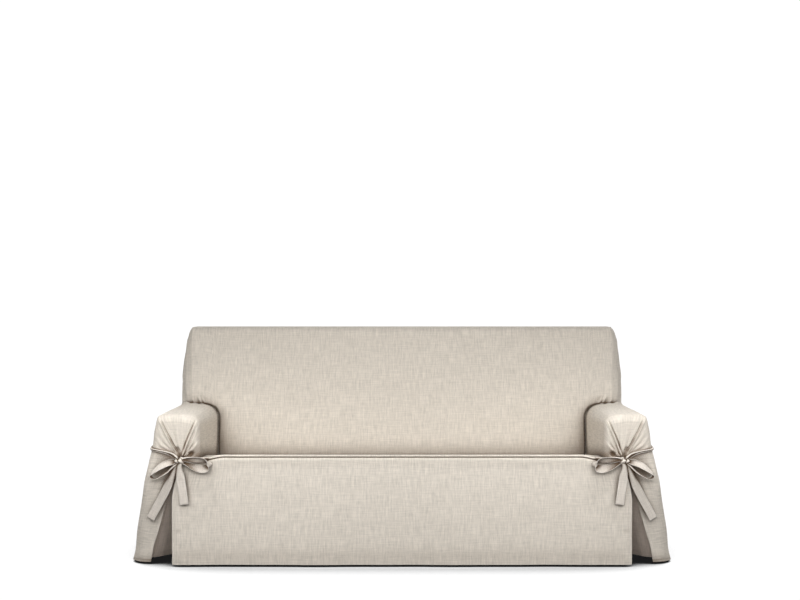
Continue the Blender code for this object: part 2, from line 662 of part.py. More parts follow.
def seat_panel():
    """Seat from the seam at its front edge to the crevice at its rear."""
    profile = [(0.0, SEAM_HEIGHT + GAP / 2)]
    rise = SEAT_ROLL_RISE * SEAT_ROLL
    for angle in (180, 140, 115):
        turn = math.radians(angle)
        y = SEAT_ROLL + SEAT_ROLL * math.cos(turn) - SEAT_OVERHANG
        profile.append((y, SEAT_FRONT - rise + rise * math.sin(turn)))
    profile += [(y, seat_height(y)) for y in SEAT_DEPTHS]
    rear = back_front(SEAT_REAR_HEIGHT)
    turn_from, turn_down = CREVICE
    profile.append((rear - turn_from, seat_height(rear) - 0.25 * turn_down))
    profile.append((rear - SEAM - EDGE_GAP - GAP, seat_height(rear) - turn_down))
    seam_places = [out - drawn_in(out) for out in SKIRT_PLACES]
    half = [out for out in seam_places if out < ARM_IN - 3 * SEAM]
    grid = []
    for y, z in profile:
        turn_in = min(max(ARM_FRONT + CORNER[0] - y, 0.0) / CORNER[0], 1.0)
        edge = ARM_IN - SEAM + CORNER[0] * (1 - math.sqrt(1 - turn_in ** 2)) * SEAT_CORNER
        drawn = 1 - ease(y / DRAWN_DEPTH)
        sag = SEAT_SAG * ease((y - SEAT_SAG_FROM) / (SEAT_SAG_FULL - SEAT_SAG_FROM))
        sag *= ease((SEAT_SAG_TO - y) / 0.10)
        row = []
        for out in (*half, edge):
            follow = ease((y - SEAT_FOLLOW[0]) / (SEAT_FOLLOW[1] - SEAT_FOLLOW[0]))
            follow *= back_front(z, out) - back_front(z)
            low = sag * (1 - (out / edge) ** 2) + drawn * edge_drop(out)
            row.append((out, y + follow, z - low))
        grid.append([(-out, y, z) for out, y, z in reversed(row[1:])] + row)
    return sheet("seat_panel", grid, LINEN)


def front_skirt():
    """Front skirt, drawn to the knots at its upper corners."""
    places = [-place for place in reversed(SKIRT_PLACES[1:])] + list(SKIRT_PLACES)
    grid = []
    for share in SKIRT_SHARES:
        row = []
        for place in places:
            sign, out = math.copysign(1, place), abs(place)
            z = mix(SEAM_HEIGHT - GAP / 2 - edge_drop(out - drawn_in(out)), HEM, share)
            draw = ease((z - SKIRT_DRAW) / (SEAM_HEIGHT - 0.02 - SKIRT_DRAW))
            narrow = draw * drawn_in(out)
            loose = ease((SEAM_HEIGHT - z) / 0.30)
            roll = SKIRT_ROLL * math.exp(-((share - SKIRT_ROLL_SHARE) / SKIRT_ROLL_SHARE) ** 2)
            roll *= ease((SKIRT_ROLL_TO - out) / 0.06)
            edge = ease((out - SKIRT_SIDE) / (SKIRT_OUT - SKIRT_SIDE)) * ease((0.30 - z) / 0.2)
            folds = SKIRT_FOLD_SHARE * ridges(SKIRT_RIDGES, out - narrow, z)
            y = SKIRT_SIDE_TURN * edge - roll - loose * waves(FRONT_WAVES, place) - folds
            row.append((sign * (out - narrow), y, z))
        grid.append(row)
    return sheet("front_skirt", grid, LINEN)


# ---------------------------------------------------------------- arm covers

def arm_section(y):
    """The arm cover's outline (out, z) at a depth, from its inner foot to its outer hem."""
    inner = mix(ARM_INNER_EDGE[0], ARM_INNER_EDGE[1], min(max(y, 0.0) / ARM_INNER_DEPTH, 1.0))
    foot = seat_height(y) - TUCK
    points = [(ARM_IN, mix(foot, ARM_TOP - inner, k / INNER_STEPS)) for k in range(INNER_STEPS)]
    points += arc((ARM_IN + inner, ARM_TOP - inner), inner, 180, 90, INNER_EDGE_STEPS)
    for k in range(TOP_STEPS):
        share = k / TOP_STEPS
        points.append((mix(ARM_IN + inner, ARM_OUT - ARM_EDGE, share),
                       ARM_TOP + ARM_CROWN * math.sin(math.pi * share)))
    points += arc((ARM_OUT - ARM_EDGE, ARM_TOP - ARM_EDGE), ARM_EDGE, 90, 0, OUTER_EDGE_STEPS)
    points.append((side_out(SIDE_SPLIT, y), SIDE_SPLIT))
    points += [(side_out(z, y), z) for z in SIDE_HEIGHTS]
    return points


def arm_target(out, z):
    """Where the cloth on the front runs to: the ring under the knot, or the side's front fold."""
    if out > KNOT_OUT and z < KNOT_HEIGHT:
        return look_up(SIDE_FOLD, "height", "out", z), z
    away = Vector((out - KNOT_OUT, z - KNOT_HEIGHT)).normalized()
    return KNOT_OUT + away.x * KNOT_EYE, KNOT_HEIGHT + away.y * KNOT_EYE


def arm_rear(out, z):
    """Depth at which the arm cover's inner face and top meet the back."""
    reach = look_up(BACK_SIDE, "height", "out", z)
    return back_front(z, min(out, reach) - ARM_REAR_INSET) - ARM_REAR_GAP


def rear_strip(z, end):
    """Points (out, y, z) of the side from the rear corner forward to the back's front."""
    rear = rear_y(z)
    points = []
    for angle in (90, 60, 30, 0):
        turn = math.radians(angle)
        y = rear - REAR_CORNER * (1 - math.sin(turn))
        points.append((side_out(z, y) - REAR_CORNER * (1 - math.cos(turn)), y, z))
    for share in (0.36, 0.70):
        y = mix(rear - REAR_CORNER, end, share)
        points.append((side_out(z, y), y, z))
    return points


def arm_column(k):
    """One column of the arm cover, from the rear over the front edge to the knot or the fold."""
    out_front, z_front = arm_section(0.0)[k]
    is_side = k >= FIRST_SIDE_COLUMN
    hanging = ease((KNOT_HEIGHT - z_front) / KNOT_HEIGHT) if is_side else 0.0
    face = mix(ARM_FRONT, FOLD_DEPTH, hanging)
    goal_out, goal_z = arm_target(out_front, z_front)
    reach = math.hypot(goal_out - out_front, goal_z - z_front)
    radius = min(mix(CORNER[0], CORNER[1], hanging), ROUNDING_SHARE * reach)
    way_out, way_z = (goal_out - out_front) / reach, (goal_z - z_front) / reach
    end = SIDE_FROM if is_side else arm_rear(*arm_section(ARM_DEPTH)[k])
    column = rear_strip(z_front, end) if is_side else [None] * 6
    for i in range(LENGTH_STEPS):
        y = mix(end, face + radius, i / LENGTH_STEPS)
        out, z = arm_section(y)[k]
        lap = math.exp(-((out - LAP_OUT) / LAP_BREADTH) ** 2) if i == 0 and not is_side else 0.0
        column.append((out, y, z + LAP_RISE * lap))
    for i in range(ROUND_STEPS + FRONT_STEPS + 1):
        turn = math.radians(90 * min(i / ROUND_STEPS, 1.0))
        share = max(i - ROUND_STEPS, 0) / FRONT_STEPS
        ahead = radius * (1 - math.cos(turn)) + (reach - radius) * (1 - (1 - share) ** GATHER)
        out, z = out_front + way_out * ahead, z_front + way_z * ahead
        y = face + radius * (1 - math.sin(turn))
        column.append((out, y - ridges(ARM_RIDGES, out, z) * ease((FOLDS_TO - y) / 0.04), z))
    return column


def arm_cover(name, side):
    """Cover of one arm: inner face, top, front gathered to the knot, and the side to the hem."""
    grid = []
    for k in range(len(arm_section(0.0))):
        grid.append([p and (side * p[0], p[1], p[2]) for p in arm_column(k)])
    return sheet(name, grid, LINEN)


def pleat_underlay(name, side):
    """Pleat that closes the corner behind the front skirt and the side's front fold."""
    grid = []
    for i in range(UNDERLAY_COLUMNS + 1):
        top_out, top_y, hem_out, hem_y = [look_up(UNDERLAY, "share", key, i / UNDERLAY_COLUMNS)
                                          for key in ("top_out", "top_y", "hem_out", "hem_y")]
        row = []
        for j in range(UNDERLAY_LEVELS + 1):
            down = j / UNDERLAY_LEVELS
            out = mix(top_out, hem_out, down ** UNDERLAY_SPREAD)
            y = mix(top_y, hem_y, down ** UNDERLAY_FALL)
            row.append((side * out, y, mix(UNDERLAY_TOP, HEM + UNDERLAY_RISE, down)))
        grid.append(row)
    return sheet(name, grid, LINEN_REAR)


# ---------------------------------------------------------------- ties

def tie(name, side, knot, bands):
    """One tie: its half of the knot, fused with its strap, its half of the bow and its tail."""
    ribbons = [ribbon(name + "_" + word, side, passes, BAND_STEPS, LINEN_TIE) for word, passes in bands]
    return join(cheek(name, side, knot, LINEN_TIE), ribbons)


# ---------------------------------------------------------------- the whole cover

def build():
    """Clear the scene and make every piece."""
    for thing in list(bpy.data.objects):
        bpy.data.objects.remove(thing, do_unlink=True)
    inside_back()
    outside_back()
    seat_panel()
    front_skirt()
    for word, side in (("left", -1), ("right", 1)):
        arm_cover("arm_cover_" + word, side)
        pleat_underlay("pleat_underlay_" + word, side)
        tie("outer_tie_" + word, side, OUTER_CHEEK, OUTER_BANDS)
        tie("inner_tie_" + word, side, INNER_CHEEK, INNER_BANDS)


build()
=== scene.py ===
"""Looks of a loose linen slipcover with tied corners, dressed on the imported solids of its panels.

Each panel of the cover is a fine sheet on the folds of its own solid: the inside back, the rear
panel, the seat, the front skirt, the two arm covers gathered by bows, the pleats behind them and
the four ties.

Metres. Sizes are worked out above the floor, with "out" a distance from the middle of the cover to
either side, and moved to the frame's origin, at the top of the cover's back, when a mesh is made.
"""

import logging
import math
from dataclasses import dataclass, field, replace
from enum import Enum
from typing import Sequence

import bpy
import numpy as np
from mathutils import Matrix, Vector


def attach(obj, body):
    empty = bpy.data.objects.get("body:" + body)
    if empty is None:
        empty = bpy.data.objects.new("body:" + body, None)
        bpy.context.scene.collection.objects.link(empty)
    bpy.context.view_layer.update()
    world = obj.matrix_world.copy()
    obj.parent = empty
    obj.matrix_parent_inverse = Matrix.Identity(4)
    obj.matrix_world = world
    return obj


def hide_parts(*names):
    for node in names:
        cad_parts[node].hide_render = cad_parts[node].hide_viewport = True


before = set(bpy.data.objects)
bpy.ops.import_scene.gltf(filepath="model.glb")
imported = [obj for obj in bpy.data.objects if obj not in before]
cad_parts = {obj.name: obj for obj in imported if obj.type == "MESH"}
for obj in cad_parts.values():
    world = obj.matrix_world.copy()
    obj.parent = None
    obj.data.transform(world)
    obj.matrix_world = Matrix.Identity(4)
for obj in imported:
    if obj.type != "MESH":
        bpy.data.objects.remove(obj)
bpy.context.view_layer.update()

LOG = logging.getLogger("slipcover")
Array = np.ndarray
Pair = tuple[float, float]
Triple = tuple[float, float, float]
Socket = bpy.types.NodeSocket
Object = bpy.types.Object
Material = bpy.types.Material

BEAR_POINT = np.array((0.0, 0.77, 0.965))  # the frame's origin, above the floor
FLOOR = -0.965  # the floor in the frame
WIDE = 0.05  # "no hem near": further away than any stitching
PAINTED_FOLD_SHADE = (0.2, 0.14, 0.095)  # painted shade: what is left of the cloth's colour in a closed fold
PALE = (0.6, 0.36)  # of threads and rubbed edges: share of the colour, and white
RUBBED_TONE = 0.3  # how far a rubbed edge goes over to that
THREAD_SHOWS = 0.55  # and a thread of a seam
HEM_SHADE = 0.1  # share of the folds' painted shade that is left at a clear hem
ROUGH_TONES = (0.8, 1.2)  # tones of the weave between which its roughness falls
ROUGH_SPAN = (0.05, -0.07)  # from this over the finish's roughness to this
THREAD_PITCH = 0.0013
SPECULAR = 0.15  # of linen, which hardly shines
SHEEN_ROUGHNESS = 0.45
BUMP = 0.55  # strength of the weave and the stitches
HEM_STEPS = np.array((0.0, 0.0012, 0.004, 0.0085, 0.01, 0.0112, 0.013))  # rows of cloth by a hem
HEM_PLY = (0.0104, 0.0012, 0.0006)  # a hem's ply ends this far in, over this; its thickness
CURVE_STEPS = 6  # stretches between two corners of a crease
TROUGH = (1.9, 0.9)  # place and breadth of a trough, in breadths of its ridge
LATTICE = 97  # an unevenness repeats after this many bumps


# ---------------- small helpers

def mix(low: Array | float, high: Array | float, share: Array | float) -> Array | float:
    """Value between low and high."""
    return low + (high - low) * share


def ease(share: Array | float) -> Array:
    """0 to 1 with level ends."""
    share = np.clip(share, 0.0, 1.0)
    return share * share * (3.0 - 2.0 * share)


def between(place: Array, low: float, rise: float, high: float, fall: float) -> Array:
    """1 in the middle of a span that rises from low over rise, and falls to high over fall."""
    return ease((place - low) / rise) * ease((high - place) / fall)


def bell(place: Array, breadth: float) -> Array:
    """1 at 0, falling off to both sides over the breadth."""
    return np.exp(-(place / breadth) ** 2)


def spread(low: float, high: float, pitch: float) -> Array:
    """Evenly spread places from low to high, about a pitch apart."""
    return np.linspace(low, high, max(int(round(abs(high - low) / pitch)), 1) + 1)


def stack(*parts: Array) -> Array:
    """Arrays of one shape, as the parts of a new last direction."""
    return np.stack(parts, axis=-1)


def quarter(count: int) -> Array:
    """Angles of a quarter turn, from 0 on."""
    return np.radians(np.linspace(0, 90, count))


def hem_ply(near: Array) -> Array:
    """How far the turned-in ply of a hem lifts the cloth, by the distance from the hem's edge."""
    deep, over, thick = HEM_PLY
    return thick * ease((deep - near) / over)


def smooth_path(rows: Array, steps: int) -> Array:
    """Rows between the given ones, on a smooth curve through them.

    Args:
        rows: Points or wider rows of sizes, one under the other.
        steps: Number of stretches between two rows.

    Returns:
        The rows of the curve, the first and last ones as given.
    """
    rows = np.vstack((2 * rows[0] - rows[1], rows, 2 * rows[-1] - rows[-2]))
    t = (np.arange(steps) / steps)[:, None]
    path = []
    for i in range(1, len(rows) - 2):
        a, b, c, d = rows[i - 1:i + 3]
        path.append(0.5 * (2 * b + (c - a) * t + (2 * a - 5 * b + 4 * c - d) * t * t
                           + (3 * b - a - 3 * c + d) * t ** 3))
    path.append(rows[-2][None])
    return np.vstack(path)


class Side(Enum):
    """Which half of the cover a piece belongs to, as the sign of its x."""

    LEFT = -1
    RIGHT = 1

    def named(self, node: str) -> str:
        """Name of a paired solid on this side."""
        return f"{node}_{self.name.lower()}"


class Hold(Enum):
    """How a sheet of the cover is held."""

    STRETCHED = "stretched"
    GATHERED = "gathered"
    HUNG = "hung"


@dataclass(frozen=True)
class Profile:
    """A size that changes along another one, read smoothly between its rows (key, value)."""

    rows: tuple[Pair, ...]

    def at(self, key: Array | float) -> Array:
        """Size at a key, level beyond the first and last rows.

        Args:
            key: Where to read it.

        Returns:
            The size, in the shape of the key.
        """
        keys, values = np.array(sorted(self.rows)).T
        last = len(keys) - 1
        places = np.arange(last + 1)
        before, after = np.maximum(places - 1, 0), np.minimum(places + 1, last)
        slope = (values[after] - values[before]) / (keys[after] - keys[before])
        key = np.clip(key, keys[0], keys[-1])
        low = np.clip(np.searchsorted(keys, key, side="right") - 1, 0, last - 1)
        span = keys[low + 1] - keys[low]
        share = (key - keys[low]) / span
        square, cube = share ** 2, share ** 3
        return ((2 * cube - 3 * square + 1) * values[low]
                + (cube - 2 * square + share) * span * slope[low]
                + (3 * square - 2 * cube) * values[low + 1]
                + (cube - square) * span * slope[low + 1])


def evenly(*values: float) -> Profile:
    """Profile whose values are evenly spread from 0 to 1."""
    return Profile(tuple((i / (len(values) - 1), value) for i, value in enumerate(values)))


@dataclass(frozen=True)
class Waves:
    """Soft folds along a cloth, as rows (height, pitch, start)."""

    rows: tuple[Triple, ...]

    def at(self, place: Array) -> Array:
        """Sum of the folds at a place along the cloth."""
        return sum(height * np.sin(2 * np.pi * (place - start) / pitch)
                   for height, pitch, start in self.rows)


@dataclass(frozen=True)
class Unevenness:
    """Slack in a cloth that follows no rule: smooth bumps of a given pitch across and along it."""

    seed: int
    across: float
    along: float
    height: float

    def at(self, a: Array, b: Array) -> Array:
        """Height of the cloth at its places a across and b along it."""
        lattice = np.random.default_rng(self.seed).uniform(-1.0, 1.0, (LATTICE, LATTICE))
        a, b = a / self.across, b / self.along
        i, j = np.floor(a).astype(int), np.floor(b).astype(int)
        s, t = ease(a - i), ease(b - j)
        i, j, i_next, j_next = (number % LATTICE for number in (i, j, i + 1, j + 1))
        low = mix(lattice[i, j], lattice[i_next, j], s)
        high = mix(lattice[i, j_next], lattice[i_next, j_next], s)
        return self.height * mix(low, high, t)


@dataclass(frozen=True)
class Crease:
    """A fold in a cloth along a line of corners, with a ridge and the troughs that run beside it.

    The left is the left of the line when looking along it with the second coordinate up.
    """

    corners: tuple[Pair, ...]
    height: float
    breadth: float
    left: float = 0.0  # depth of the trough to its left
    right: float = 0.0  # and to its right
    starts: float = 0.25  # share of its length over which it rises
    ends: float = 0.0  # and over which it dies away

    def at(self, a: Array, b: Array) -> Array:
        """Height of the cloth at the places (a, b), which are in the plane of its corners.

        Args:
            a: First coordinate of the places.
            b: Second coordinate of the places.

        Returns:
            How far the cloth stands out there.
        """
        line = smooth_path(np.array(self.corners), CURVE_STEPS)
        far = np.full(np.shape(a), np.inf)
        signed = np.zeros(np.shape(a))
        along = np.zeros(np.shape(a))
        for i in range(len(line) - 1):
            start, way = line[i], line[i + 1] - line[i]
            length = way @ way
            share = np.clip(((a - start[0]) * way[0] + (b - start[1]) * way[1]) / length, 0.0, 1.0)
            off_a, off_b = a - start[0] - share * way[0], b - start[1] - share * way[1]
            distance = np.hypot(off_a, off_b)
            turn = np.sign(way[0] * off_b - way[1] * off_a)
            nearer = distance < far
            far = np.where(nearer, distance, far)
            signed = np.where(nearer, distance * turn, signed)
            along = np.where(nearer, (i + share) / (len(line) - 1), along)
        ridge = self.height * bell(signed, self.breadth)
        away, broad = (part * self.breadth for part in TROUGH)
        left = self.left * bell(signed - away, broad)
        right = self.right * bell(signed + away, broad)
        lasting = ease(along / self.starts)
        if self.ends:
            lasting = lasting * ease((1.0 - along) / self.ends)
        return lasting * (ridge - left - right)


def creases(*rows: tuple) -> tuple[Crease, ...]:
    """Creases from the rows of a table (corners, height, breadth, left, right, starts, ends)."""
    return tuple(Crease(*row) for row in rows)


def creased(folds: Sequence[Crease | Unevenness], a: Array, b: Array) -> Array:
    """Sum of several creases or unevennesses at the places (a, b)."""
    return sum(fold.at(a, b) for fold in folds)


# ---------------- effects that several finishes share

class Board:
    """A node tree, with short ways to add to it and to link it."""

    def __init__(self, tree: bpy.types.NodeTree) -> None:
        """Take the tree to work on."""
        self.tree = tree

    def add(self, kind: str, inputs: dict | None = None, **settings: object) -> bpy.types.Node:
        """Add a node.

        Args:
            kind: Blender's name of the node type.
            inputs: Values or sockets for its inputs, by name or number.
            **settings: Properties of the node.

        Returns:
            The node.
        """
        node = self.tree.nodes.new(kind)
        for name, value in settings.items():
            setattr(node, name, value)
        for name, value in (inputs or {}).items():
            if isinstance(value, Socket):
                self.tree.links.new(value, node.inputs[name])
            else:
                node.inputs[name].default_value = value
        return node

    def calc(self, operation: str, *values: object) -> Socket:
        """Result of one sum on values or sockets."""
        return self.add("ShaderNodeMath", dict(enumerate(values)), operation=operation).outputs[0]

    def link(self, source: Socket, target: Socket) -> None:
        """Lead one socket to another."""
        self.tree.links.new(source, target)

    def swing(self, value: object, strength: object) -> Socket:
        """A value from 0 to 1 as a swing about 0."""
        return self.calc("MULTIPLY", self.calc("SUBTRACT", value, 0.5), strength)

    def noise(self, place: Socket, scale: Pair, detail: float) -> object:
        """Noise over the cloth's coordinates, stretched by a scale across and along it."""
        stretched = self.add("ShaderNodeVectorMath", {0: place, 1: (*scale, 1.0)},
                             operation="MULTIPLY")
        return self.add("ShaderNodeTexNoise", {"Vector": stretched.outputs[0], "Scale": 1.0,
                                               "Detail": detail,
                                               "Roughness": NOISE_ROUGHNESS}).outputs["Fac"]

    def ramp(self, value: object, low: float, high: float, to_low: float, to_high: float) -> object:
        """Value carried over smoothly from one range to another."""
        return self.add("ShaderNodeMapRange", {"Value": value, "From Min": low, "From Max": high,
                                               "To Min": to_low, "To Max": to_high},
                        interpolation_type="SMOOTHSTEP").outputs[0]


def new_group(name: str, inputs: Sequence[tuple],
              outputs: Sequence[str]) -> tuple[Board, object, object]:
    """Start a shader node group with named sockets.

    Args:
        name: Name of the group.
        inputs: Rows (socket name, socket type, default value).
        outputs: Names of its outputs, which are all values.

    Returns:
        The board to work on, its input node and its output node.
    """
    group = bpy.data.node_groups.new(name, "ShaderNodeTree")
    for label, kind, value in inputs:
        socket = group.interface.new_socket(name=label, in_out="INPUT", socket_type=kind)
        socket.default_value = value
    for label in outputs:
        group.interface.new_socket(name=label, in_out="OUTPUT", socket_type="NodeSocketFloat")
    board = Board(group)
    return board, board.add("NodeGroupInput"), board.add("NodeGroupOutput")


WEAVE_NOISES = (  # scale across and along the cloth, and detail, of each change in it
    ((60.0, 60.0), 1.0),  # wandering threads
    ((170.0, 16.0), 2.0),  # slubs down the cloth
    ((520.0, 40.0), 1.0),  # and finer ones
    ((15.0, 190.0), 2.0),  # slubs across it
    ((9.0, 6.0), 3.0),  # clouds
)
THREAD_WANDER = 2.4  # how far the threads wander, in radians of their pitch
PAINTED_THREAD_CROWN = (0.07, 0.955)  # painted highlight of a thread's crown over its shaded side, and the tone of its side
CROSSING = (-0.25, 0.25)  # the upper thread changes between these products of both threads
NOISE_ROUGHNESS = 0.55
SLUB_HEIGHT = 0.00022
THREAD_HEIGHT = 0.00012
GROOVE = (0.0016, -0.0005)  # breadth and depth of the groove that a row of stitches pulls
STITCH_THREAD = (0.0003, 0.0006)  # half its breadth, sharp and soft
STITCH_SHARE = (0.34, 0.42)  # half of each stitch that shows, sharp and soft
STITCH_HEIGHT = 0.0006
RUBBED_EDGE = (0.0004, 0.0022)  # the edge is rubbed fully up to here, and not at all from here on
NEAR_SKY = (0.3, 0.92)  # shares of open sky at which a tight fold is shut, and is clear
WIDE_CLEAR = 0.95  # and at which a wide fold is clear
SKY_SAMPLES = 8


def linen_weave_group() -> bpy.types.NodeTree:
    """Plain linen weave: crossing threads with painted highlights on their crowns, slubs both ways
    and a broad cloudiness.

    Returns:
        A group whose Tone is near 1 and whose Height is in metres.
    """
    board, given, result = new_group("linen_weave", (
        ("Cloth", "NodeSocketVector", (0.0, 0.0, 0.0)),
        ("Pitch", "NodeSocketFloat", THREAD_PITCH),
        ("Slubs Along", "NodeSocketFloat", 0.2),
        ("Slubs Across", "NodeSocketFloat", 0.12),
        ("Clouds", "NodeSocketFloat", 0.04),
    ), ("Tone", "Height"))
    cloth = given.outputs["Cloth"]
    wander, slub_along, fine_along, slub_across, clouds = (
        board.noise(cloth, *noise) for noise in WEAVE_NOISES)
    parts = board.add("ShaderNodeSeparateXYZ", {0: cloth})
    turns = board.calc("DIVIDE", math.pi, given.outputs["Pitch"])
    drift = board.calc("MULTIPLY", wander, THREAD_WANDER)
    warp_angle = board.calc("MULTIPLY_ADD", parts.outputs["X"], turns, drift)
    weft_angle = board.calc("MULTIPLY_ADD", parts.outputs["Y"], turns, drift)
    warp, weft = board.calc("SINE", warp_angle), board.calc("SINE", weft_angle)
    over = board.ramp(board.calc("MULTIPLY", warp, weft), *CROSSING, 0.0, 1.0)
    crossing = board.add("ShaderNodeMix", {0: over, 2: board.calc("ABSOLUTE", weft),
                                           3: board.calc("ABSOLUTE", warp)}, data_type="FLOAT")
    swing = board.swing(slub_along, given.outputs["Slubs Along"])
    fine = board.swing(fine_along, given.outputs["Slubs Along"])
    swing_across = board.swing(slub_across, given.outputs["Slubs Across"])
    cloudy = board.swing(clouds, given.outputs["Clouds"])
    # painted highlight on the threads' crowns, with painted shade between them
    thread = board.calc("MULTIPLY_ADD", crossing.outputs[0], *PAINTED_THREAD_CROWN)
    tone = board.calc("ADD", thread, board.calc("MULTIPLY_ADD", swing, 2.0, fine))
    tone = board.calc("ADD", tone, board.calc("MULTIPLY_ADD", swing_across, 2.0, cloudy))
    slubs = board.calc("ADD", slub_along, slub_across)
    height = board.calc("MULTIPLY_ADD", slubs, SLUB_HEIGHT,
                        board.calc("MULTIPLY", crossing.outputs[0], THREAD_HEIGHT))
    board.link(tone, result.inputs["Tone"])
    board.link(height, result.inputs["Height"])
    return board.tree


def hem_stitching_group() -> bpy.types.NodeTree:
    """Row of stitches beside a turned hem, with the groove that they pull and the rubbed edge.

    Returns:
        A group whose Thread and Rubbed are masks and whose Height is in metres.
    """
    board, given, result = new_group("hem_stitching", (
        ("Edge", "NodeSocketVector", (0.0, WIDE, 0.0)),
        ("Inset", "NodeSocketFloat", 0.0105),
        ("Stitch", "NodeSocketFloat", 0.0034),
    ), ("Thread", "Rubbed", "Height"))
    parts = board.add("ShaderNodeSeparateXYZ", {0: given.outputs["Edge"]})
    off = board.calc("ABSOLUTE", board.calc("SUBTRACT", parts.outputs["Y"], given.outputs["Inset"]))
    groove = board.ramp(off, 0.0, GROOVE[0], 1.0, 0.0)
    line = board.ramp(off, *STITCH_THREAD, 1.0, 0.0)
    turns = board.calc("DIVIDE", parts.outputs["X"], given.outputs["Stitch"])
    share = board.calc("FRACT", turns)
    from_middle = board.calc("ABSOLUTE", board.calc("SUBTRACT", share, 0.5))
    stitch = board.ramp(from_middle, *STITCH_SHARE, 1.0, 0.0)
    thread = board.calc("MULTIPLY", line, stitch)
    rubbed = board.ramp(parts.outputs["Y"], *RUBBED_EDGE, 1.0, 0.0)
    height = board.calc("MULTIPLY_ADD", groove, GROOVE[1],
                        board.calc("MULTIPLY", thread, STITCH_HEIGHT))
    for label, value in (("Thread", thread), ("Rubbed", rubbed), ("Height", height)):
        board.link(value, result.inputs[label])
    return board.tree


def fold_shade_group() -> bpy.types.NodeTree:
    """Painted shade of the cloth in tight folds, in seams and behind other pieces, where ambient
    occlusion finds other cloth near.

    Returns:
        A group whose Shade is 0 on open cloth and near 1 in a closed fold.
    """
    board, given, result = new_group("fold_shade", (
        ("Near", "NodeSocketFloat", 0.018),
        ("Wide", "NodeSocketFloat", 0.1),
        ("Near Depth", "NodeSocketFloat", 0.9),
        ("Wide Depth", "NodeSocketFloat", 0.6),
        ("Wide Shut", "NodeSocketFloat", 0.25),
    ), ("Shade",))
    left = 1.0
    wide_shut = given.outputs["Wide Shut"]
    for name, shut, clear in (("Near", *NEAR_SKY), ("Wide", wide_shut, WIDE_CLEAR)):
        sky = board.add("ShaderNodeAmbientOcclusion", {"Distance": given.outputs[name]},
                        samples=SKY_SAMPLES)
        closed = board.ramp(sky.outputs["AO"], shut, clear, 1.0, 0.0)
        depth = board.calc("MULTIPLY", closed, given.outputs[name + " Depth"])
        left = board.calc("MULTIPLY", left, board.calc("SUBTRACT", 1.0, depth))
    board.link(board.calc("SUBTRACT", 1.0, left), result.inputs["Shade"])
    return board.tree


class Effects:
    """The shared node groups, each made once."""

    def __init__(self) -> None:
        """Make the groups."""
        self.weave = linen_weave_group()
        self.stitching = hem_stitching_group()
        self.shade = fold_shade_group()


